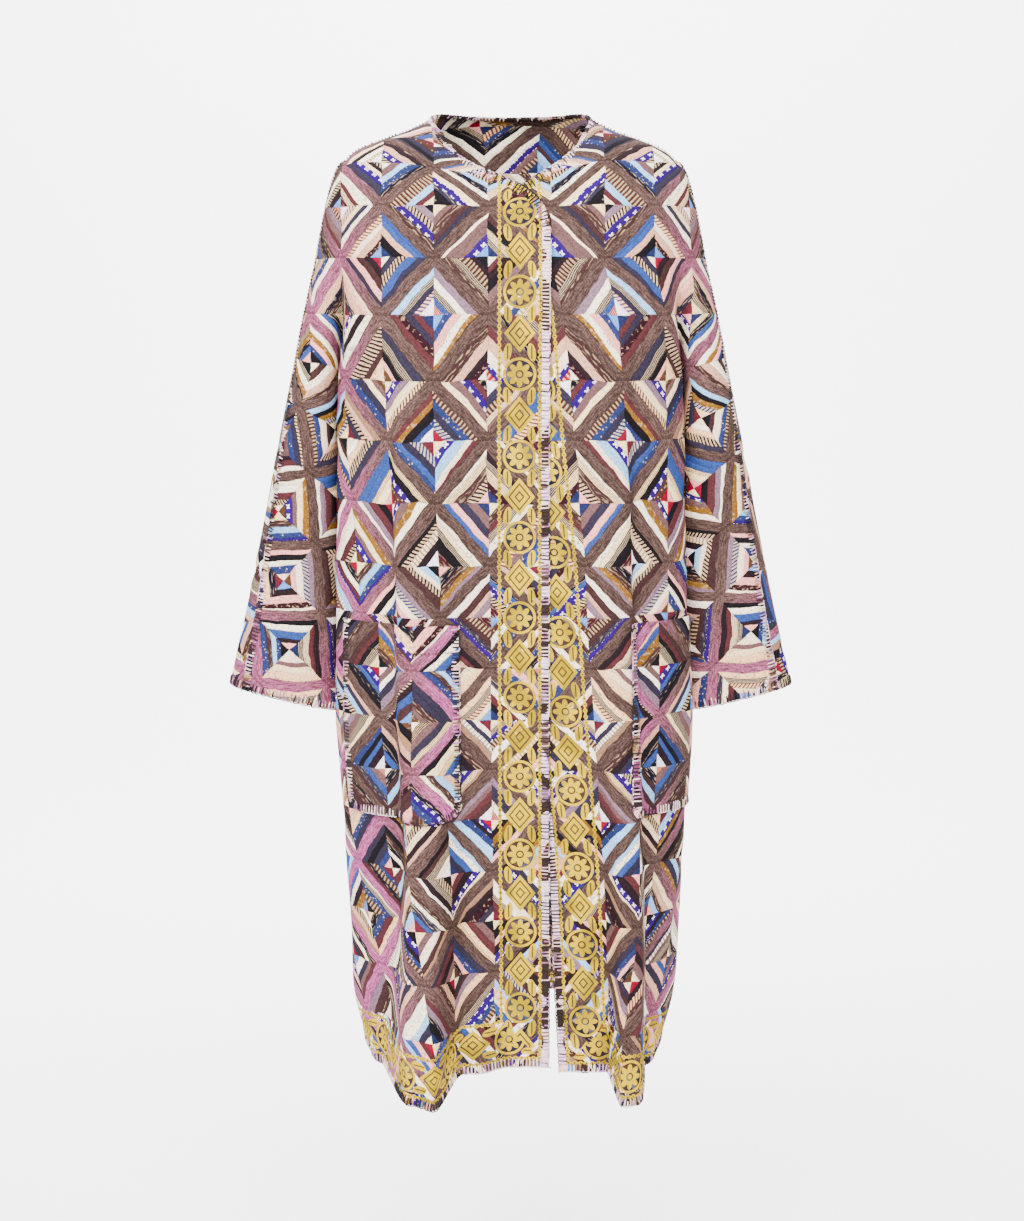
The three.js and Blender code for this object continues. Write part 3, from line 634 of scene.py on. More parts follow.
def add_half(skin, panel, shared=None):
    """Adds one half of a panel to a skin; a mirrored half shares its first column."""
    body, sleeve, shoulder_rows, joined_rows = panel_rows(panel)
    blocks, across = body_pattern(panel, body, shoulder_rows)
    sleeve_blocks = sleeve_pattern(sleeve, blocks)
    down = running_length(body)
    side = panel["side"]
    columns = np.array(panel["columns"])
    mirror = np.array([side, 1, 1])
    flip = side * panel["facing"] < 0
    heights = body[..., 2]
    sunk = laid_creases(panel["creases"], np.broadcast_to(columns, heights.shape), heights)
    ids = skin.add_grid(
        body * mirror,
        [None] * len(body) if shared is None else shared,
        edge_gap=across if panel["edge"] is not None else FAR,
        edge_run=np.broadcast_to(down[:, :1], heights.shape),
        hem_gap=down[-1] - down,
        hem_run=np.broadcast_to(running_length(body, 1)[-1], heights.shape),
        blush=body_blush(blocks[..., 0]),
        sunk=sunk,
    )
    if panel["facing"] > 0:
        # The back's patchwork runs on across its middle
        blocks, sleeve_blocks = blocks * (side, 1), sleeve_blocks * (side, 1)
    sleeve_sunk = laid_creases(
        [(a * SLEEVE_WIDTH_FOR_CREASES, z, b * SLEEVE_WIDTH_FOR_CREASES, to_z, w, d)
         for a, z, b, to_z, w, d in panel["sleeve_creases"]],
        np.broadcast_to(SLEEVE_SHARES * SLEEVE_WIDTH_FOR_CREASES, sleeve.shape[:2]), sleeve[..., 2],
    )
    # The sleeve's top row is the body's outermost point, and its next rows start from the body
    sleeve_ids = np.vstack([np.full((1, sleeve.shape[1]), ids[0, -1]), skin.add_grid(
        sleeve[1:] * mirror,
        list(ids[1:joined_rows, -1]) + [None] * (len(sleeve) - joined_rows),
        edge_gap=FAR, edge_run=0.0, hem_gap=FAR, hem_run=0.0,
        blush=sleeve_blush(sleeve_blocks[1:, :, 1]), sunk=sleeve_sunk[1:],
    )])
    for grid, place in ((ids, blocks), (sleeve_ids, sleeve_blocks)):
        for j in range(grid.shape[0] - 1):
            for i in range(grid.shape[1] - 1):
                cells = ((j, i), (j, i + 1), (j + 1, i + 1), (j + 1, i))
                skin.quad([grid[c] for c in cells], [place[c] for c in cells], flip)
    outward = np.array([0, panel["facing"], 0], float)
    for j in range(shoulder_rows, joined_rows):
        skin.creases[int(ids[j, -1])] = (outward, parting(float(body[j, -1, 2])))
    top = ids[0] if panel["facing"] < 0 else ids[0, columns >= BACK_NECK_GIRTH]
    skin.ridge.update(int(i) for i in top)
    return ids, sleeve_ids


def weld_normals(skins):
    """Outward directions at the points, shared where pieces meet at a seam."""
    keys, normals = [], []
    for skin in skins:
        points = np.array(skin.points)
        for face in skin.faces:
            p = points[face]
            normal = np.cross(p[1] - p[0], p[2] - p[0])
            if len(face) == 4:
                normal = normal + np.cross(p[2] - p[0], p[3] - p[0])
            for v in face:
                keys.append(tuple(np.round(points[v], 2)))
                normals.append(normal)
    unique, index = np.unique(np.array(keys), axis=0, return_inverse=True)
    sums = np.zeros((len(unique), 3))
    np.add.at(sums, index.reshape(-1), np.array(normals))
    lookup = {tuple(k): s for k, s in zip(unique, sums)}
    for skin in skins:
        points = np.array(skin.points)
        out = np.array([lookup.get(tuple(np.round(p, 2)), np.array([0, 0, 1.0])) for p in points])
        for i in skin.ridge:
            out[i, 1] = 0
        out /= np.linalg.norm(out, axis=1, keepdims=True) + 1e-12
        for i, (outward, share) in skin.creases.items():
            out[i] = lerp(out[i], outward, share)
            out[i] /= np.linalg.norm(out[i])
        skin.normals = out


def cloth_object(name, points, normals, faces, corners, values, inner, outer):
    """A closed shell between two distances outside the skin, with its patchwork places."""
    count = len(points)
    shell = np.vstack([points + normals * outer, points + normals * inner]) * MM
    all_faces = [list(f) for f in faces] + [[v + count for v in reversed(f)] for f in faces]
    all_corners = list(corners)
    start = 0
    by_vertex = {}
    for face in faces:
        own = corners[start:start + len(face)]
        all_corners += list(reversed(own))
        by_vertex.update(zip(face, own))
        start += len(face)
    # The shell is closed along the edges that only one face has
    border = {}
    for face in faces:
        for a, b in zip(face, face[1:] + face[:1]):
            if (b, a) in border:
                del border[(b, a)]
            else:
                border[(a, b)] = True
    for a, b in border:
        all_faces.append([b, a, a + count, b + count])
        all_corners += [by_vertex[b], by_vertex[a], by_vertex[a], by_vertex[b]]
    mesh = new_mesh(name, shell.tolist(), all_faces)
    layer = mesh.uv_layers.new(name="patchwork")
    layer.data.foreach_set("uv", np.array(all_corners, np.float32).ravel())
    for key, columns in values.items():
        attribute = mesh.attributes.new(key, "FLOAT_VECTOR", "POINT")
        data = np.stack([np.asarray(c, float) for c in columns], -1)
        attribute.data.foreach_set("vector", np.vstack([data, data]).astype(np.float32).ravel())
    mesh.set_sharp_from_angle(angle=math.radians(SHARP_ANGLE))
    mesh.update()
    return linked(name, mesh)


def skin_object(skin, name):
    points = np.array(skin.points) - skin.normals * np.array(skin.values["sunk"])[:, None]
    skin.settled = points
    values = {
        "border_gap": [skin.values[key] for key in ("edge_gap", "hem_gap", "blush")],
        "border_run": [skin.values[key] for key in ("edge_run", "hem_run")] + [np.zeros(len(points))],
    }
    return cloth_object(name, points, skin.normals, skin.faces, skin.corners, values, -WALL, 0)


def body_blush(across):
    """How pink the lattice is, in blocks from the middle: brown, then rose, pink by the side."""
    return np.clip((across - 2.2) / 2.2, 0, 1)


def sleeve_blush(down):
    """The same on a sleeve, where brown and pink take turns."""
    return np.clip(0.35 + 0.5 * np.sin(down * 0.9), 0, 1)


SLEEVE_SHARES = np.linspace(0, 1, 25)
BACK_HALF = dict(
    facing=1, folds=BACK_FOLDS, hem=HEM_BACK_Z, edge=None, lap_step=0, block_drop=0.25,
    columns=refine([0, 80, 140, 204, 290], FINE_COLUMN),
)
PANELS = {
    "right": dict(
        side=-1, facing=-1, folds=RIGHT_FRONT_FOLDS, hem=HEM_RIGHT_FRONT_Z, edge=OVER_EDGE,
        neckline=OVER_NECKLINE, lap_step=0, first_block=8, block_drop=0,
        columns=refine([-44, 48, 61, 105, 150, 207, 290], FINE_COLUMN),
    ),
    "left": dict(
        side=1, facing=-1, folds=LEFT_FRONT_FOLDS, hem=HEM_LEFT_FRONT_Z, edge=UNDER_EDGE,
        neckline=UNDER_NECKLINE, lap_step=LAP_STEP, first_block=8, block_drop=0,
        columns=refine([25, 98, 132, 172, 207, 275, 290], FINE_COLUMN),
    ),
    "back_right": dict(BACK_HALF, side=-1, first_block=30),
    "back_left": dict(BACK_HALF, side=1, first_block=-30),
}


def varied(creases, seed, spread):
    """The same creases, each a little longer, deeper or elsewhere."""
    rng = np.random.default_rng(seed)
    return [
        tuple(
            v + CREASE_SHIFT * rng.uniform(-1, 1) if name in ("z", "to_z")
            else v * (1 + spread * rng.uniform(-1, 1))
            for name, v in zip(CREASE_COLUMNS, row)
        )
        for row in creases
    ]


for number, panel in enumerate(PANELS.values()):
    base = FRONT_CREASES if panel["facing"] < 0 else BACK_CREASES
    panel["creases"] = varied(base, 11 + number, 0.12)
    panel["sleeve_creases"] = varied(SLEEVE_CREASES, 31 + number, 0.15)

skins = {name: Skin() for name in ("front_right", "front_left", "back")}
right_ids, right_sleeve_ids = add_half(skins["front_right"], PANELS["right"])
left_ids, left_sleeve_ids = add_half(skins["front_left"], PANELS["left"])
back_right_ids, back_right_sleeve_ids = add_half(skins["back"], PANELS["back_right"])
back_left_ids, back_left_sleeve_ids = add_half(
    skins["back"], PANELS["back_left"], back_right_ids[:, 0]
)
weld_normals(skins.values())


# Node trees

def operation(kind):
    return lambda nodes, *values: nodes.math(kind, *values)


class Nodes:
    """Shorthand for adding nodes to a tree: inputs are sockets or plain values."""

    def __init__(self, tree):
        self.tree = tree

    def add(self, kind, inputs=(), **settings):
        node = self.tree.nodes.new(kind)
        for key, value in settings.items():
            setattr(node, key, value)
        for key, value in dict(inputs).items():
            self.feed(node.inputs[key], value)
        return node

    def feed(self, socket, value):
        if isinstance(value, bpy.types.NodeSocket):
            self.tree.links.new(value, socket)
        elif value is not None:
            socket.default_value = value

    def math(self, kind, *values):
        node = self.add("ShaderNodeMath", operation=kind)
        for socket, value in zip(node.inputs, values):
            self.feed(socket, value)
        return node.outputs[0]

    times, plus, minus, over = (operation(k) for k in ("MULTIPLY", "ADD", "SUBTRACT", "DIVIDE"))
    least, most, below, above = (
        operation(k) for k in ("MINIMUM", "MAXIMUM", "LESS_THAN", "GREATER_THAN")
    )
    absolute, fract, power, scaled = (
        operation(k) for k in ("ABSOLUTE", "FRACT", "POWER", "MULTIPLY_ADD")
    )

    def length(self, x, y):
        return self.math("SQRT", self.plus(self.power(x, 2.0), self.power(y, 2.0)))

    def vector(self, kind, a, b=None, scale=None):
        node = self.add("ShaderNodeVectorMath", operation=kind)
        for i, value in ((0, a), (1, b), (3, scale)):
            self.feed(node.inputs[i], value)
        return node.outputs["Vector"]

    def mix(self, factor, a, b, blend="MIX"):
        node = self.add("ShaderNodeMix", data_type="RGBA", blend_type=blend)
        for i, value in ((0, factor), (6, a), (7, b)):
            self.feed(node.inputs[i], value)
        return node.outputs[2]

    def shaded(self, colour, factor):
        """The colour, lighter or darker by a factor."""
        return self.mix(1.0, colour, self.joined(factor, factor, factor), "MULTIPLY")

    def xyz(self, vector):
        return self.add("ShaderNodeSeparateXYZ", {"Vector": vector}).outputs

    def joined(self, x, y, z=0.0):
        return self.add("ShaderNodeCombineXYZ", {"X": x, "Y": y, "Z": z}).outputs[0]

    def noise(self, vector, scale, detail=2.0, colour=False):
        node = self.add("ShaderNodeTexNoise", {"Vector": vector, "Scale": scale, "Detail": detail})
        return node.outputs[1 if colour else 0]

    def random(self, vector):
        return self.add("ShaderNodeTexWhiteNoise", {"Vector": vector}, noise_dimensions="3D")

    def ramp(self, value, stops, interpolation="LINEAR"):
        node = self.add("ShaderNodeValToRGB", {"Fac": value})
        elements = node.color_ramp.elements
        node.color_ramp.interpolation = interpolation
        for i, (place, colour) in enumerate(stops):
            element = elements[i] if i < 2 else elements.new(place)
            element.position = place
            element.color = colour
        return node.outputs[0]

    def steps(self, value, colours):
        """A palette: equal steps of plain colours from 0 to 1."""
        return self.ramp(value, [(i / len(colours), c) for i, c in enumerate(colours)], "CONSTANT")

    def between(self, value, low, high):
        """1 where the value is between the two, else 0."""
        above = self.above(value, low)
        return self.times(above, self.below(value, high))

    def near(self, value, place, width):
        """1 within a width of a place, else 0."""
        return self.math("COMPARE", value, place, width)

    def soft(self, value, low, high, start=0.0, end=1.0):
        node = self.add("ShaderNodeMapRange", interpolation_type="SMOOTHSTEP")
        for i, v in enumerate((value, low, high, start, end)):
            self.feed(node.inputs[i], v)
        return node.outputs[0]


def linear(code):
    """A cloth's own colour from its hexadecimal form."""
    values = [int(code[i:i + 2], 16) / 255 for i in (0, 2, 4)]
    return tuple(v / 12.92 if v <= 0.04045 else ((v + 0.055) / 1.055) ** 2.4 for v in values) + (1.0,)


def cloths(*codes):
    return [linear(code) for code in codes]


# Colours of cloth, print and thread. They look paler in the studio's bright light.
STRONG_CLOTHS = cloths(
    "181725", "3f251f", "252d56", "271118", "724c1a", "5f4342", "151215", "2c4078",
    "290f5a", "362222", "282331", "20161a", "482427", "282331", "13111e", "362222",
)
VIOLET_STEP = 8 / len(STRONG_CLOTHS)
LIGHT_CLOTHS = cloths(
    "e8c58d", "efe0c5", "e4b284", "efe0c5", "c08f76", "85afd7", "efd4b9", "8a664e", "f1dfcd",
    "e1968d", "ebcc9e", "745b69",
)
STRONG_TIPS = cloths(
    "8e021d", "131115", "4a2e20", "750724", "1f2445", "131115", "521d27", "38141d",
)
LIGHT_TIPS = cloths("efe0c5", "ebcc9e", "e1968d", "547db9", "e8c58d", "f0e0ef")
PRINT_INKS = cloths(
    "1a1b28", "5c242e", "392562", "4a2e20", "1a1b28", "5c2e2e", "423455", "171e18",
)
CREAM, BLOSSOM = cloths("ebcc9e", "f0e0ef")
BRIGHT_YELLOW, DEEP_YELLOW = cloths("bf9d02", "947a02")
NAVY_LINE, BROWN_LINE = cloths("1a1b28", "37261f")
LATTICE = list(zip((0.0, 0.42, 0.8, 1.0), cloths("4a3833", "59423e", "84495f", "a0507c")))
BINDING_CLOTHS = cloths(
    "765a6a", "9c72a4", "5f4342", "f0cddd", "37261f", "765a6a", "9c72a4", "4a2e20",
)
THREAD_STRETCHES = list(zip((0.34, 0.40, 0.48, 0.54, 0.59, 0.63, 0.66, 0.72), cloths(
    "765a6a", "f0cddd", "efe0c5", "c79fb0", "9c72a4", "a64c7e", "ebcc9e", "6e4c20",
)))
DARK_THREADS = cloths("131115", "1a161a", "131115", "37261f")


def group_of(name, inputs, outputs):
    tree = bpy.data.node_groups.new(name, "ShaderNodeTree")
    for label, kind, value in inputs:
        socket = tree.interface.new_socket(label, in_out="INPUT", socket_type=kind)
        if value is not None:
            socket.default_value = value
    for label, kind in outputs:
        tree.interface.new_socket(label, in_out="OUTPUT", socket_type=kind)
    return tree, tree.nodes.new("NodeGroupInput"), tree.nodes.new("NodeGroupOutput")


# The patchwork in shares of a block: how far its seams stray, and where its lattice starts
WOBBLE, FINE_WOBBLE = 0.13, 0.018
LATTICE_FROM, LATTICE_SPREAD = 0.85, 0.03
# How many of the strips are pale, from a block's corner to its lattice
LIGHT_SHARES = (0.0, 0.24, 0.36, 0.24, 0.46)


def string_patchwork():
    """Square blocks, each with a lattice strip from corner to corner and strips beside it."""
    tree, given, result = group_of("string_patchwork", [
        ("Place", "NodeSocketVector", None),
        ("Blush", "NodeSocketFloat", 0.0),
        ("Seed", "NodeSocketFloat", 0.0),
    ], [("Colour", "NodeSocketColor"), ("Height", "NodeSocketFloat")])
    n = Nodes(tree)
    place, blush, seed = (given.outputs[k] for k in ("Place", "Blush", "Seed"))
    wobble = n.vector("SUBTRACT", n.noise(place, 1.7, 2.0, colour=True), (0.5, 0.5, 0.5))
    fine_wobble = n.vector("SUBTRACT", n.noise(place, 9.0, 1.0, colour=True), (0.5, 0.5, 0.5))
    bent = n.vector("ADD", place, n.vector("SCALE", wobble, scale=WOBBLE))
    bent = n.vector("ADD", bent, n.vector("SCALE", fine_wobble, scale=FINE_WOBBLE))
    x, y, _ = n.xyz(bent)
    column, row = n.math("FLOOR", x), n.math("FLOOR", y)
    fx, fy = n.minus(x, column), n.minus(y, row)
    odd = n.math("FLOORED_MODULO", n.plus(column, row), 2.0)
    gx = n.plus(fx, n.times(odd, n.scaled(fx, -2.0, 1.0)))
    total = n.plus(gx, fy)
    far = n.above(total, 1.0)
    reach = n.plus(total, n.times(far, n.scaled(total, -2.0, 2.0)))
    along = n.minus(gx, fy)
    corner = n.scaled(far, 3.0, n.plus(odd, seed))
    quarter = n.random(n.joined(column, row, corner))
    r1, r2, r3 = n.xyz(quarter.outputs["Color"])
    tilt = n.times(n.minus(r3, 0.5), n.times(along, 0.22))
    edge_free = n.times(reach, n.minus(1.0, reach))
    bent_reach = n.scaled(tilt, n.times(edge_free, 2.5), reach)
    seams = [n.scaled(r1, 0.10, 0.17)]
    for part, spread, least in ((r2, 0.10, 0.12), (r3, 0.10, 0.12), (r1, -0.08, 0.20)):
        seams.append(n.plus(seams[-1], n.scaled(part, spread, least)))
    lattice_side = n.scaled(n.minus(r2, r1), LATTICE_SPREAD, LATTICE_FROM)
    strip = n.above(bent_reach, seams[0])
    for seam in seams[1:]:
        strip = n.plus(strip, n.above(bent_reach, seam))
    in_lattice = n.above(reach, lattice_side)
    pick = n.random(n.joined(n.scaled(strip, 17.0, column), n.scaled(strip, 5.0, row), corner))
    which = pick.outputs["Value"]
    kind, shade, third = n.xyz(pick.outputs["Color"])
    strong = n.steps(which, STRONG_CLOTHS)
    light = n.steps(which, LIGHT_CLOTHS)
    strips = len(LIGHT_SHARES)
    strip_place = n.scaled(strip, 1 / strips, 0.5 / strips)
    light_share = n.steps(strip_place, [(v, v, v, 1.0) for v in LIGHT_SHARES])
    is_light = n.below(shade, light_share)
    colour = n.mix(is_light, strong, light)
    tips = n.mix(odd, n.steps(which, STRONG_TIPS), n.steps(which, LIGHT_TIPS))
    is_tip = n.below(strip, 0.5)
    colour = n.mix(is_tip, colour, tips)

    # Small prints on some of the strips
    not_light = n.minus(1.0, is_light)
    print_ink = n.steps(third, PRINT_INKS)
    fine_lines = n.below(n.fract(n.times(bent_reach, 24.0)), 0.42)
    cross_lines = n.below(n.fract(n.times(along, 9.0)), 0.4)
    slant = n.plus(n.times(bent_reach, 6.0), n.times(along, 9.0))
    slanting = n.below(n.fract(slant), 0.5)
    spots = n.add("ShaderNodeTexVoronoi", {"Vector": bent, "Scale": 15.0, "Randomness": 0.75})
    dots = n.below(spots.outputs["Distance"], 0.23)
    sprigs = n.soft(n.noise(bent, 13.0, 3.0), 0.56, 0.62)
    for low, high, shape, weight in (
        (0.00, 0.07, fine_lines, 0.85), (0.07, 0.11, cross_lines, 0.75), (0.11, 0.18, dots, 0.8),
        (0.18, 0.22, slanting, 0.95), (0.22, 0.31, sprigs, 0.45),
    ):
        amount = n.times(n.times(n.between(kind, low, high), shape), weight)
        colour = n.mix(n.times(amount, is_light), colour, print_ink)
        colour = n.mix(n.times(amount, n.times(not_light, 0.55)), colour, CREAM)

    # Faded hairlines along the strips, pale on the deep cloths and brown on the pale ones
    fade = n.noise(n.vector("MULTIPLY", n.joined(bent_reach, along), (24.0, 3.2, 1.0)), 1.0, 2.0)
    faded = n.times(n.above(kind, 0.86), 0.34)
    faded = n.most(faded, n.times(is_light, 0.1))
    fade = n.times(n.soft(fade, 0.54, 0.66), faded)
    colour = n.mix(fade, colour, n.mix(is_light, CREAM, BROWN_LINE))

    # White four-petalled blossoms on the violet strips
    petal_cell = n.vector("MULTIPLY", n.joined(bent_reach, along), (5.0, 3.4, 1.0))
    px, py, _ = n.xyz(n.vector("SUBTRACT", n.vector("FRACTION", petal_cell), (0.5, 0.5, 0.0)))
    radius = n.length(px, py)
    spread = n.over(n.times(px, py), n.times(radius, radius))
    petals = n.below(radius, n.times(n.absolute(spread), 0.62))
    violet = n.between(which, VIOLET_STEP, VIOLET_STEP + 1 / len(STRONG_CLOTHS))
    violet = n.times(violet, n.times(not_light, n.minus(1.0, is_tip)))
    colour = n.mix(n.times(violet, petals), colour, BLOSSOM)

    # The lattice, streaked along its thread
    streak = n.noise(n.vector("MULTIPLY", n.joined(total, along), (25.0, 4.0, 1.0)), 1.0, 3.0)
    scratches = n.noise(n.vector("MULTIPLY", bent, (26.0, 60.0, 1.0)), 1.0, 3.0)
    lattice = n.shaded(n.ramp(blush, LATTICE), n.times(
        n.soft(streak, 0.37, 0.62, 0.48, 1.2), n.soft(scratches, 0.36, 0.58, 0.7, 1.16),
    ))
    colour = n.mix(in_lattice, colour, lattice)

    # Each cloth a little uneven
    mottle = n.soft(n.noise(bent, 28.0, 4.0), 0.36, 0.60, 0.74, 1.14)
    tone = n.times(mottle, n.scaled(third, 0.16, 0.90))
    colour = n.shaded(colour, tone)

    # Seams: a thin painted shade line and a dip between strips and between blocks
    gaps = [n.absolute(n.minus(bent_reach, seam)) for seam in seams]
    gaps.append(n.absolute(n.minus(reach, lattice_side)))
    for f in (fx, fy):
        gaps.append(n.times(n.least(f, n.minus(1.0, f)), 1.4))
    gap = gaps[0]
    for other in gaps[1:]:
        gap = n.least(gap, other)
    shade_line = n.soft(gap, 0.0, 0.02, 0.72, 1.0)
    colour = n.shaded(colour, shade_line)
    puff = n.soft(gap, 0.0, 0.07)
    crinkle = n.noise(bent, 5.5, 3.0)
    height = n.plus(puff, n.times(crinkle, 1.1))
    n.feed(result.inputs["Colour"], colour)
    n.feed(result.inputs["Height"], height)
    return tree


# Stitches and the printed border, in millimetres
STITCH_SPACING = 4.2
STITCH_REACH = 9.0
STITCH_WANDER = 0.1
THREAD_RADIUS = 0.85
STITCH_SIDES = 5

POCKET_HEM, POCKET_HEM_HALF = 31.0, 1.1

BORDER_MIDDLE = 33.0
BORDER_HALF = 23.5
BORDER_REPEAT = 92.0
DISC_RADIUS = 18.8
RING_RADIUS, RING_HALF = 17.3, 1.5
EYE_RADIUS, EYE_HALF = 3.8, 0.9
PETALS = 8
PETAL_ROOT, PETAL_LENGTH = 8.0, 6.5
LOZENGE_LONG, LOZENGE_WIDE = 22.0, 18.0
LEAF_ALONG, LEAF_ACROSS = 24.5, 13.6
LEAF_LONG, LEAF_WIDE, LEAF_SLANT = 9.5, 4.9, 0.35
RAIL_PLACE, RAIL_HALF = BORDER_HALF - 0.6, 1.1
BEAD_SPACING = 7.0
BORDER_MARGIN = 3.4


def rosette_border():
    """A border of eight-petalled rosettes and lozenges with leaves between beaded rails."""
    tree, given, result = group_of("rosette_border", [
        ("Gap", "NodeSocketFloat", 0.0),
        ("Run", "NodeSocketFloat", 0.0),
    ], [("Print", "NodeSocketFloat"), ("Line", "NodeSocketFloat")])
    n = Nodes(tree)
    gap, run = given.outputs["Gap"], given.outputs["Run"]
    across = n.minus(gap, BORDER_MIDDLE)
    width = n.absolute(across)
    half = BORDER_REPEAT / 2
    along = n.minus(n.math("FLOORED_MODULO", run, BORDER_REPEAT), half)
    length = n.absolute(along)
    radius = n.length(across, along)
    angle = n.math("ARCTAN2", across, along)
    lobes = n.absolute(n.math("COSINE", n.times(angle, PETALS / 2)))

    disc = n.below(radius, DISC_RADIUS)
    petal = n.below(radius, n.scaled(lobes, PETAL_LENGTH, PETAL_ROOT))
    ring = n.near(radius, RING_RADIUS, RING_HALF)
    eye = n.near(radius, EYE_RADIUS, EYE_HALF)
    petals_and_ring = n.most(n.minus(petal, eye), ring)

    across_lozenge = n.over(n.minus(half, length), LOZENGE_LONG)
    lozenge = n.plus(across_lozenge, n.over(width, LOZENGE_WIDE))
    lozenge_body = n.below(lozenge, 0.98)
    lozenge_line = n.most(n.near(lozenge, 0.66, 0.06), n.near(lozenge, 0.26, 0.06))

    leaf_x = n.over(n.minus(length, LEAF_ALONG), LEAF_LONG)
    leaf_y = n.over(n.minus(width, LEAF_ACROSS), LEAF_WIDE)
    leaf = n.plus(n.power(n.scaled(leaf_y, LEAF_SLANT, leaf_x), 2.0), n.power(leaf_y, 2.0))
    leaf_body = n.below(leaf, 1.0)
    leaf_rib = n.times(n.near(leaf_y, 0.0, 0.16), n.below(leaf, 0.62))

    rail = n.near(width, RAIL_PLACE, RAIL_HALF)
    bead_place = n.minus(n.math("FLOORED_MODULO", run, BEAD_SPACING), BEAD_SPACING / 2)
    bead = n.plus(n.power(bead_place, 2.0), n.power(n.minus(width, RAIL_PLACE), 2.0))
    bead_body, bead_eye = n.below(bead, 6.2), n.below(bead, 0.9)

    printed = n.times(disc, petals_and_ring)
    lines = n.minus(disc, printed)
    outside_disc = n.minus(1.0, disc)
    for shape in (lozenge_body, leaf_body, rail, bead_body):
        printed = n.most(printed, n.times(shape, outside_disc))
    for shape in (n.times(lozenge_line, lozenge_body), leaf_rib, bead_eye):
        lines = n.most(lines, n.times(shape, outside_disc))
    inside = n.below(width, BORDER_HALF + BORDER_MARGIN)
    n.feed(result.inputs["Print"], n.times(printed, inside))
    n.feed(result.inputs["Line"], n.times(lines, inside))
    return tree


def cloth_weave():
    """Fine plain weave and the soft crumple of quilted cotton, as a height in millimetres."""
    tree, given, result = group_of("cloth_weave", [
        ("Scale", "NodeSocketFloat", 1.0),
    ], [("Height", "NodeSocketFloat"), ("Fleck", "NodeSocketFloat")])
    n = Nodes(tree)
    place = n.add("ShaderNodeTexCoord").outputs["Object"]
    place = n.vector("SCALE", place, scale=given.outputs["Scale"])
    crumple = n.noise(place, 55.0, 3.0)
    threads = n.noise(n.vector("MULTIPLY", place, (1.0, 1.0, 0.35)), 1400.0, 1.0)
    cross = n.noise(n.vector("MULTIPLY", place, (0.35, 0.35, 1.0)), 1400.0, 1.0)
    weave = n.plus(threads, cross)
    n.feed(result.inputs["Height"], n.scaled(weave, 0.12, crumple))
    n.feed(result.inputs["Fleck"], n.scaled(n.minus(weave, 1.0), 0.5, 1.0))
    return tree


PATCHWORK, BORDER, WEAVE = string_patchwork(), rosette_border(), cloth_weave()


def new_material(name):
    material = bpy.data.materials.new(name)
    material.use_nodes = True
    return material, Nodes(material.node_tree), material.node_tree.nodes["Principled BSDF"]


def patchwork_cloth(name, seed, bordered):
    """The patchwork with its weave, and with its border or, on a pocket, the hem's line."""
    material, n, shader = new_material(name)
    place = n.add("ShaderNodeUVMap", uv_map="patchwork").outputs[0]
    gaps = n.add("ShaderNodeAttribute", attribute_name="border_gap").outputs["Vector"]
    edge_gap, hem_gap, blush = n.xyz(gaps)
    patch = n.add(
        "ShaderNodeGroup", {"Place": place, "Blush": blush, "Seed": float(seed)}, node_tree=PATCHWORK
    )
    weave = n.add("ShaderNodeGroup", node_tree=WEAVE)
    colour = patch.outputs["Colour"]
    if bordered:
        runs = n.add("ShaderNodeAttribute", attribute_name="border_run").outputs["Vector"]
        edge_run, hem_run, _ = n.xyz(runs)
        by_hem = n.below(hem_gap, edge_gap)
        run = n.add("ShaderNodeMix", data_type="FLOAT")
        for i, value in ((0, by_hem), (2, edge_run), (3, hem_run)):
            n.feed(run.inputs[i], value)
        border = n.add(
            "ShaderNodeGroup", {"Gap": n.least(edge_gap, hem_gap), "Run": run.outputs[0]},
            node_tree=BORDER,
        )
        wear = n.noise(n.add("ShaderNodeTexCoord").outputs["Object"], 260.0, 3.0)
        ink = n.times(border.outputs["Print"], n.soft(wear, 0.30, 0.36))
        tint = n.mix(n.soft(n.noise(place, 1.3, 1.0), 0.4, 0.6), DEEP_YELLOW, BRIGHT_YELLOW)
        colour = n.mix(ink, colour, tint)
        line_ink = n.mix(n.soft(n.noise(place, 0.8, 1.0), 0.45, 0.55), NAVY_LINE, BROWN_LINE)
        colour = n.mix(n.times(border.outputs["Line"], 0.92), colour, line_ink)
        binding = n.steps(n.noise(place, 0.9, 1.0), BINDING_CLOTHS)
        colour = n.mix(n.below(edge_gap, STITCH_REACH - 1.0), colour, binding)
    else:
        dash = n.below(n.fract(n.times(n.xyz(place)[0], 15.0)), 0.62)
        hem_stitch = n.times(n.near(edge_gap, POCKET_HEM, POCKET_HEM_HALF), dash)
        colour = n.mix(n.times(hem_stitch, 0.8), colour, BROWN_LINE)
    fleck = weave.outputs["Fleck"]
    colour = n.shaded(colour, fleck)
    n.feed(shader.inputs["Base Color"], colour)
    n.feed(shader.inputs["Roughness"], 0.88)
    shader.inputs["Specular IOR Level"].default_value = 0.04
    coarse = n.add("ShaderNodeBump", {
        "Strength": 0.55, "Distance": 0.0007, "Height": patch.outputs["Height"],
    })
    fine = n.add("ShaderNodeBump", {
        "Strength": 0.5, "Distance": 0.0009, "Height": weave.outputs["Height"],
        "Normal": coarse.outputs[0],
    })
    n.feed(shader.inputs["Normal"], fine.outputs[0])
    return material


FRONT_CLOTH = patchwork_cloth("front_patchwork", seed=0, bordered=True)
BACK_CLOTH = patchwork_cloth("back_patchwork", seed=44, bordered=True)
POCKET_CLOTH = patchwork_cloth("pocket_patchwork", seed=0, bordered=False)


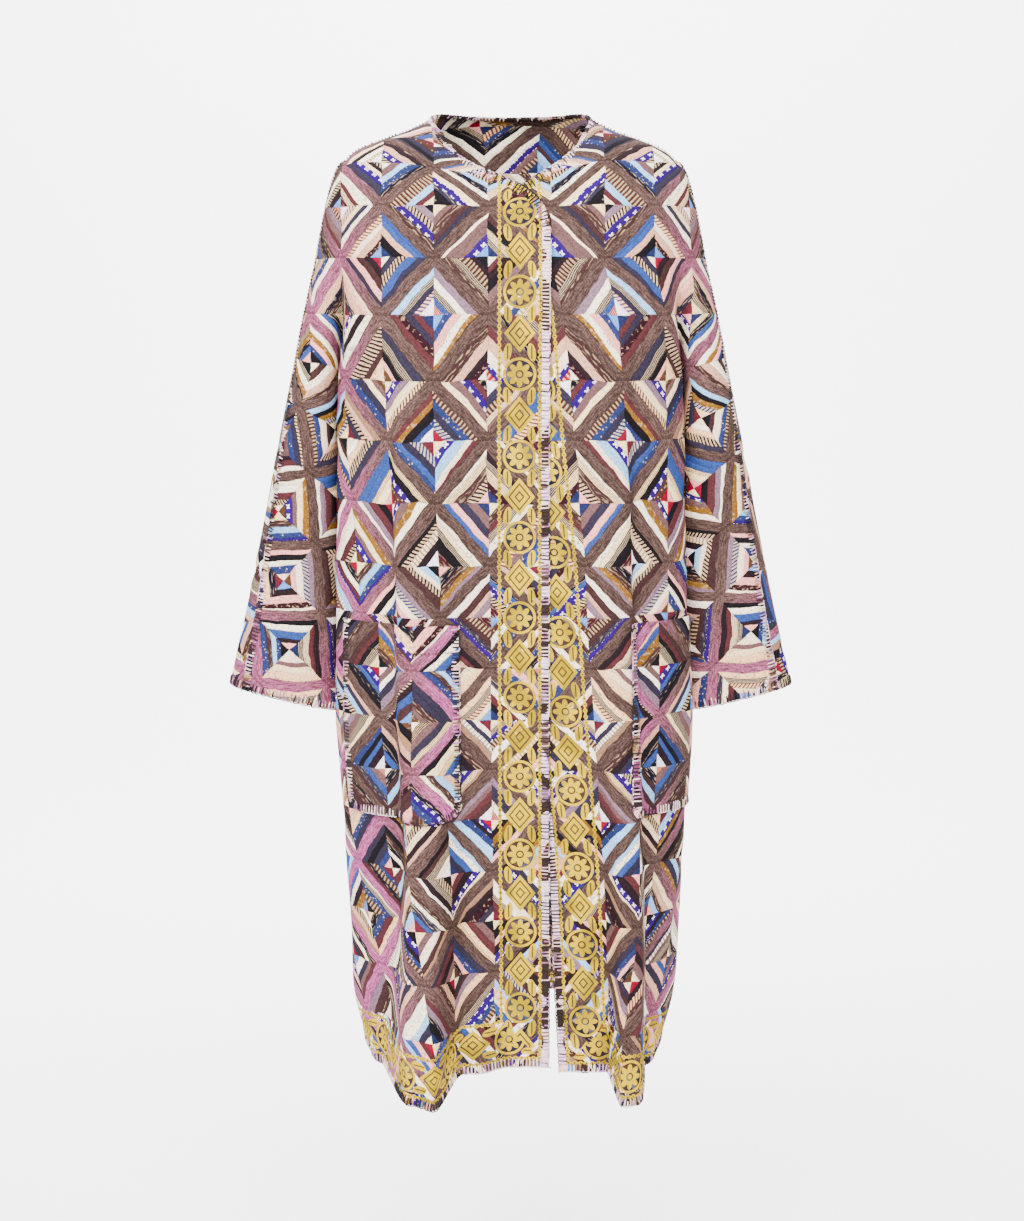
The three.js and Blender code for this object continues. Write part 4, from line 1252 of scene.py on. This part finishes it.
def thread_material():
    """Variegated thread: white and lilac with stretches of pink, black and ochre."""
    material, n, shader = new_material("variegated_thread")
    place = n.add("ShaderNodeTexCoord").outputs["Object"]
    tone = n.noise(place, 34.0, 2.0)
    own = n.add("ShaderNodeAttribute", attribute_name="stitch_tone").outputs["Fac"]
    tone = n.plus(tone, n.times(n.minus(own, 0.5), 0.2))
    colour = n.ramp(tone, THREAD_STRETCHES)
    dark_share = n.soft(n.noise(place, 15.0, 2.0), 0.44, 0.54, 0.08, 0.7)
    dark = n.below(own, dark_share)
    colour = n.mix(dark, colour, n.steps(n.noise(place, 21.0, 1.0), DARK_THREADS))
    strands = n.noise(place, 2600.0, 1.0)
    n.feed(shader.inputs["Base Color"], n.mix(n.times(strands, 0.3), colour, linear("494046")))
    n.feed(shader.inputs["Roughness"], 0.7)
    shader.inputs["Specular IOR Level"].default_value = 0.1
    bump = n.add("ShaderNodeBump", {"Strength": 0.5, "Distance": 0.0003, "Height": strands})
    n.feed(shader.inputs["Normal"], bump.outputs[0])
    return material


THREAD = thread_material()


def dressed(piece, material, slot, *nodes):
    piece.data.materials.append(material)
    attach(piece, "root")
    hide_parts(*nodes)
    return piece


for name, material, slot in (
    ("front_right", FRONT_CLOTH, "front_cloth"),
    ("front_left", FRONT_CLOTH, "front_cloth"),
    ("back", BACK_CLOTH, "back_cloth"),
):
    piece = skin_object(skins[name], f"{name}_panel")
    dressed(piece, material, slot, name)


def edge_line(path, facing, towards):
    """A line for stitches: points, outward directions and directions into the cloth."""
    path, facing = np.array(path), np.array(facing, float)
    facing /= np.linalg.norm(facing, axis=1, keepdims=True)
    tangents = np.gradient(path, axis=0)
    tangents /= np.linalg.norm(tangents, axis=1, keepdims=True) + 1e-9
    inward = np.cross(facing, tangents)
    inward /= np.linalg.norm(inward, axis=1, keepdims=True) + 1e-9
    wanted = np.array(towards) - path
    sign = np.sign(np.sum(inward * wanted, axis=1).sum())
    return path, facing, inward * sign


# Pockets, on the points of their fronts

def pocket_corner_inset(z):
    rise = z - POCKET_BOTTOM_Z
    inside = POCKET_CORNER - min(rise, POCKET_CORNER)
    return POCKET_CORNER - math.sqrt(max(POCKET_CORNER**2 - inside**2, 0))


def pocket_piece(name, panel, inner, outer, first_block):
    """A pocket between two lengths round the body, and the line of its stitches."""
    rows = refine([POCKET_TOP_Z, POCKET_BOTTOM_Z + POCKET_CORNER], FINE_POCKET_ROW)
    rows += [
        POCKET_BOTTOM_Z + POCKET_CORNER * (1 - math.sin(t)) for t in np.linspace(0.15, math.pi / 2, 8)
    ]
    shares = np.linspace(0, 1, 37)
    grid, puff = [], []
    for z in rows:
        inset = pocket_corner_inset(z)
        lengths = lerp(inner + inset, outer - inset, shares)
        grid.append(lower_body_points(panel, float(z), lengths))
        down = (POCKET_TOP_Z - z) / (POCKET_TOP_Z - POCKET_BOTTOM_Z)
        edge = np.sin(np.pi * shares) ** 0.5
        fullness = 0.65 * math.sin(math.pi * min(down, 1.0)) ** 0.5 + 1.3 * max(0, 0.12 - down)
        puff.append(POCKET_PUFF * edge * (0.35 + fullness))
    grid, puff = np.array(grid), np.array(puff)
    dz, dx = np.gradient(grid, axis=0), np.gradient(grid, axis=1)
    normals = np.cross(dx, dz)
    normals /= np.linalg.norm(normals, axis=2, keepdims=True)
    normals[normals[..., 1] > 0] *= -1
    along = running_length(grid, 1)
    across = (along - along[:, -1:] / 2) / BLOCK_WIDTH("width", POCKET_MIDDLE_Z) + first_block
    blocks = np.stack([across, block_row(grid[..., 2])], -1)
    side = np.array([panel["side"], 1, 1])
    points, directions = (grid * side).reshape(-1, 3), (normals * side).reshape(-1, 3)
    points = points + directions * puff.reshape(-1, 1)
    ids = np.arange(len(points)).reshape(grid.shape[:2])
    faces, corners = [], []
    for j in range(len(grid) - 1):
        for i in range(grid.shape[1] - 1):
            cells = [(j, i), (j, i + 1), (j + 1, i + 1), (j + 1, i)]
            if panel["side"] > 0:
                cells.reverse()
            faces.append([int(ids[c]) for c in cells])
            corners += [tuple(blocks[c]) for c in cells]
    blush = np.clip(1.15 - np.abs(shares) * 1.5, 0, 1)
    below_top = POCKET_TOP_Z - grid[..., 2].ravel()
    values = {"border_gap": (below_top, np.full(len(points), FAR), np.tile(blush, len(grid)))}
    piece = cloth_object(
        name, points, directions, faces, corners, values, POCKET_CLEARANCE, POCKET_CLEARANCE + WALL
    )
    face = (points + directions * (POCKET_CLEARANCE + WALL)).reshape(grid.shape)
    path, facing = (
        np.vstack([g[:, 0], g[-1, 1:-1], g[::-1, -1]]) for g in (face, directions.reshape(grid.shape))
    )
    middle = face[len(face) // 2, face.shape[1] // 2]
    return piece, edge_line(path, facing, np.broadcast_to(middle, path.shape))


pocket_lines = []
for name, panel, inner, outer, shift in (
    ("pocket_right", PANELS["right"], 61, 207, 3.5),
    ("pocket_left", PANELS["left"], 132, 275, 4.5),
):
    piece, line = pocket_piece(f"{name}_panel", panel, inner, outer, shift)
    pocket_lines.append(line)
    dressed(piece, POCKET_CLOTH, "pocket_cloth", name)


# Blanket stitches

def tube(points, radius, start):
    """A bent tube through points, tapered at its ends, as vertices and faces."""
    sides = STITCH_SIDES
    points = np.array(points, float)
    tangents = np.gradient(points, axis=0)
    tangents /= np.linalg.norm(tangents, axis=1, keepdims=True)
    vertices = []
    for i, (p, t) in enumerate(zip(points, tangents)):
        across = np.cross(t, (1, 0.13, 0.07)) if abs(t[0]) < 0.9 else np.cross(t, (0, 0.2, 1))
        across /= np.linalg.norm(across)
        other = np.cross(t, across)
        size = radius * (0.7 if i in (0, len(points) - 1) else 1)
        for k in range(sides):
            a = 2 * math.pi * k / sides
            vertices.append(p + size * (math.cos(a) * across + math.sin(a) * other))
    faces = []
    for i in range(len(points) - 1):
        for k in range(sides):
            a, b = start + i * sides + k, start + i * sides + (k + 1) % sides
            faces.append((a, b, b + sides, a + sides))
    faces.append(tuple(start + k for k in reversed(range(sides))))
    faces.append(tuple(start + (len(points) - 1) * sides + k for k in range(sides)))
    return vertices, faces


def stitch_shape(name, both_sides):
    """One stitch at an edge: x runs along the edge, y into the cloth and z out of its face."""
    r, reach = THREAD_RADIUS, STITCH_REACH
    over = [
        (0.2, reach + 0.3, -0.5), (0.15, reach - 0.6, r * 0.7), (0.0, reach * 0.5, r),
        (0.0, 0.5, r * 0.9), (0.1, -r * 0.9, -0.3),
    ]
    along_edge = [
        (-0.2, -r * 0.8, -0.1), (STITCH_SPACING / 2, -r * 1.3, -0.2),
        (STITCH_SPACING + 0.2, -r * 0.8, -0.1),
    ]
    under = [
        (0.1, -r * 0.9, -0.5), (0.3, 0.6, -WALL - r * 0.6), (0.3, reach - 0.5, -WALL - r * 0.6),
        (0.2, reach, -WALL + 0.4),
    ]
    paths = [over, along_edge] + ([under] if both_sides else [])
    vertices, faces = [], []
    for path in paths:
        v, f = tube(path, r, len(vertices))
        vertices += v
        faces += f
    return linked(name, new_mesh(name, (np.array(vertices) * MM).tolist(), faces))


def in_use(sockets, name):
    """The socket in use among a node's sockets of one name."""
    return next(s for s in sockets if s.name == name and s.enabled)


def stitch_tree():
    """One stitch laid along an edge at even steps, each a little turned, long and toned by chance."""
    tree = bpy.data.node_groups.new("blanket_stitches", "GeometryNodeTree")
    for label, kind in (
        ("Edge", "Geometry"), ("Stitch", "Object"), ("Spacing", "Float"), ("Wander", "Float"),
        ("Seed", "Int"), ("Thread", "Material"),
    ):
        tree.interface.new_socket(label, in_out="INPUT", socket_type="NodeSocket" + kind)
    tree.interface.new_socket("Stitches", in_out="OUTPUT", socket_type="NodeSocketGeometry")
    given, result = tree.nodes.new("NodeGroupInput"), tree.nodes.new("NodeGroupOutput")
    n = Nodes(tree)
    source = given.outputs
    line = n.add("GeometryNodeMeshToCurve", {"Mesh": source["Edge"]})
    points = n.add("GeometryNodeResampleCurve", {"Curve": line.outputs[0]})
    mode = points.inputs.get("Mode")
    if mode is not None:
        mode.default_value = "Length"
    else:
        points.mode = "LENGTH"
    n.feed(points.inputs["Length"], source["Spacing"])
    stitch = n.add("GeometryNodeObjectInfo", {"Object": source["Stitch"]})
    inward = n.add("GeometryNodeInputNamedAttribute", {"Name": "inward"}, data_type="FLOAT_VECTOR")
    facing = n.add("GeometryNodeInputNamedAttribute", {"Name": "facing"}, data_type="FLOAT_VECTOR")
    turn = n.add("FunctionNodeAxesToRotation", {
        "Primary Axis": facing.outputs[0], "Secondary Axis": inward.outputs[0],
    }, primary_axis="Z", secondary_axis="Y")
    wander = n.add("FunctionNodeRandomValue", {"Seed": source["Seed"]}, data_type="FLOAT")
    n.feed(in_use(wander.inputs, "Min"), n.times(source["Wander"], -1.0))
    n.feed(in_use(wander.inputs, "Max"), source["Wander"])
    lean = n.add("FunctionNodeAxisAngleToRotation", {
        "Axis": (0.0, 0.0, 1.0), "Angle": in_use(wander.outputs, "Value"),
    })
    leaned = n.add("FunctionNodeRotateRotation", {
        "Rotation": turn.outputs[0], "Rotate By": lean.outputs[0],
    }, rotation_space="LOCAL")
    size = n.add("FunctionNodeRandomValue", {"Seed": source["Seed"]}, data_type="FLOAT_VECTOR")
    size.inputs["Min"].default_value = (1.0, 0.82, 0.95)
    size.inputs["Max"].default_value = (1.0, 1.12, 1.1)
    placed = n.add("GeometryNodeInstanceOnPoints", {
        "Points": points.outputs[0], "Instance": stitch.outputs["Geometry"],
        "Rotation": leaned.outputs[0], "Scale": in_use(size.outputs, "Value"),
    })
    tone = n.add("FunctionNodeRandomValue", {"Seed": source["Seed"]}, data_type="FLOAT")
    toned = n.add("GeometryNodeStoreNamedAttribute", {
        "Geometry": placed.outputs[0], "Name": "stitch_tone", "Value": in_use(tone.outputs, "Value"),
    }, data_type="FLOAT", domain="INSTANCE")
    real = n.add("GeometryNodeRealizeInstances", {"Geometry": toned.outputs[0]})
    threaded = n.add("GeometryNodeSetMaterial", {
        "Geometry": real.outputs[0], "Material": source["Thread"],
    })
    n.feed(result.inputs["Stitches"], threaded.outputs[0])
    return tree


STITCHES = stitch_tree()
edge_stitch = stitch_shape("edge_stitch", True)
seam_stitch = stitch_shape("seam_stitch", False)


def stitched(name, lines, template, seed):
    """Stitches along lines, as one mesh."""
    vertices, edges, facings, inwards = [], [], [], []
    for path, facing, inward in lines:
        start = len(vertices)
        keep = np.concatenate([[True], np.linalg.norm(np.diff(path, axis=0), axis=1) > 0.05])
        path, facing, inward = path[keep], facing[keep], inward[keep]
        vertices += (path * MM).tolist()
        facings += facing.tolist()
        inwards += inward.tolist()
        edges += [(start + i, start + i + 1) for i in range(len(path) - 1)]
    mesh = bpy.data.meshes.new(f"{name}_line")
    mesh.from_pydata(vertices, edges, [])
    for key, data in (("facing", facings), ("inward", inwards)):
        attribute = mesh.attributes.new(key, "FLOAT_VECTOR", "POINT")
        attribute.data.foreach_set("vector", np.array(data, np.float32).ravel())
    line = linked(f"{name}_line", mesh)
    modifier = line.modifiers.new("stitches", "NODES")
    modifier.node_group = STITCHES
    sockets = {
        item.name: item.identifier for item in STITCHES.interface.items_tree if item.in_out == "INPUT"
    }
    for label, value in (
        ("Stitch", template), ("Spacing", STITCH_SPACING * MM), ("Wander", STITCH_WANDER),
        ("Seed", seed), ("Thread", THREAD),
    ):
        modifier[sockets[label]] = value
    line.update_tag()
    bpy.context.view_layer.update()
    graph = bpy.context.evaluated_depsgraph_get()
    made = bpy.data.meshes.new_from_object(line.evaluated_get(graph))
    made.name = name
    line.modifiers.remove(modifier)
    bpy.data.objects.remove(line)
    if not made.materials:
        made.materials.append(THREAD)
    return linked(name, made)


def skin_line(skin, ids, inner_ids):
    ids, inner_ids = np.array(ids), np.array(inner_ids)
    return edge_line(skin.settled[ids], skin.normals[ids], skin.settled[inner_ids])


right_skin, left_skin, back_skin = skins["front_right"], skins["front_left"], skins["back"]
neck_columns = int(np.sum(np.array(BACK_HALF["columns"]) < BACK_NECK_GIRTH)) + 1


def back_row(row, columns=None):
    """The back's points along a row, from its right side over the middle to its left side."""
    return np.concatenate([back_right_ids[row, :columns][::-1], back_left_ids[row, 1:columns]])


def front_lines(skin, ids):
    return [skin_line(skin, ids[:, 0], ids[:, 1]), skin_line(skin, ids[-1], ids[-2])]


EDGE_LINES = {
    "right_front_stitches": front_lines(right_skin, right_ids),
    "left_front_stitches": front_lines(left_skin, left_ids),
    "back_stitches": [
        skin_line(back_skin, back_row(0, neck_columns), back_row(1, neck_columns)),
        skin_line(back_skin, back_row(-1), back_row(-2)),
    ],
    "cuff_stitches": [
        skin_line(skin, ids[-1], ids[-2]) for skin, ids in (
            (right_skin, right_sleeve_ids), (left_skin, left_sleeve_ids),
            (back_skin, back_right_sleeve_ids), (back_skin, back_left_sleeve_ids),
        )
    ],
}
stitch_pieces = {}
for seed, (name, lines) in enumerate(EDGE_LINES.items()):
    stitch_pieces[name] = stitched(name, lines, edge_stitch, seed)
overarm = []
for skin, ids, body_ids in (
    (right_skin, right_sleeve_ids, right_ids), (left_skin, left_sleeve_ids, left_ids),
):
    seam, inner = (np.concatenate([body_ids[k], ids[1:, -1 - k]]) for k in (0, 1))
    overarm.append(skin_line(skin, seam, inner))
stitch_pieces["overarm_stitches"] = stitched("overarm_stitches", overarm, seam_stitch, 20)
stitch_pieces["pocket_stitches"] = stitched("pocket_stitches", pocket_lines, seam_stitch, 30)
for template in (edge_stitch, seam_stitch):
    bpy.data.objects.remove(template)
for name, piece in stitch_pieces.items():
    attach(piece, "root")


# Floor, light and camera, in metres

FLOOR_Z = -1.52
FLOOR_FRONT_Y = -6.0
FLOOR_BEND_Y = 3.2
FLOOR_BEND = 1.6
FLOOR_HALF_WIDTH = 7.0
BACKDROP_HEIGHT = 6.0


def studio():
    """A pale floor that bends up into a backdrop."""
    profile = [(FLOOR_FRONT_Y, 0.0), (FLOOR_BEND_Y, 0.0)]
    profile += [
        (FLOOR_BEND_Y + FLOOR_BEND * math.sin(a), FLOOR_BEND - FLOOR_BEND * math.cos(a))
        for a in np.linspace(0.15, math.pi / 2, 12)
    ]
    profile += [(FLOOR_BEND_Y + FLOOR_BEND, BACKDROP_HEIGHT)]
    vertices = [
        (x, y, FLOOR_Z + z) for y, z in profile for x in (-FLOOR_HALF_WIDTH, FLOOR_HALF_WIDTH)
    ]
    faces = [(2 * i, 2 * i + 1, 2 * i + 3, 2 * i + 2) for i in range(len(profile) - 1)]
    floor = linked("floor", new_mesh("floor", vertices, faces))
    material, _, shader = new_material("pale_floor")
    shader.inputs["Base Color"].default_value = (0.95, 0.95, 0.95, 1)
    shader.inputs["Roughness"].default_value = 0.9
    floor.data.materials.append(material)


def soft_light(name, place, target, size, power):
    light = bpy.data.lights.new(name, "AREA")
    light.shape = "RECTANGLE"
    light.size, light.size_y = size
    light.energy = power
    lamp = linked(name, light)
    lamp.location = place
    direction = np.array(target, float) - np.array(place, float)
    yaw = math.atan2(direction[1], direction[0]) - math.pi / 2
    pitch = math.atan2(math.hypot(direction[0], direction[1]), -direction[2])
    lamp.rotation_euler = (pitch, 0, yaw)


studio()
soft_light("key", (-2.0, -3.1, 1.5), (0, 0, -0.25), (2.0, 2.2), 225)
soft_light("fill", (0.8, -3.7, 0.3), (0, 0, -0.2), (1.8, 1.8), 72)
soft_light("top", (0, -1.8, 1.5), (0, 0, -0.2), (1.8, 1.2), 165)
soft_light("backdrop", (0, 1.6, 2.4), (0, 4.2, -0.6), (6.0, 1.6), 1050)
world = bpy.data.worlds.new("studio")
world.use_nodes = True
world.node_tree.nodes["Background"].inputs["Color"].default_value = (1, 1, 1, 1)
world.node_tree.nodes["Background"].inputs["Strength"].default_value = 0.86
bpy.context.scene.world = world

# The picture's long side and the focal length in its pixels, and the camera's slope in degrees
FRAME_PIXELS = 1221
FOCAL_PIXELS = 2188
SENSOR_MM = 36
CAMERA_DOWN = 8

camera_data = bpy.data.cameras.new("camera")
camera_data.sensor_width = SENSOR_MM
camera_data.lens = FOCAL_PIXELS / FRAME_PIXELS * SENSOR_MM
camera = linked("camera", camera_data)
camera.location = (0.0018, -2.6, -0.213)
camera.rotation_euler = (math.radians(90 - CAMERA_DOWN), 0, 0)
bpy.context.scene.camera = camera
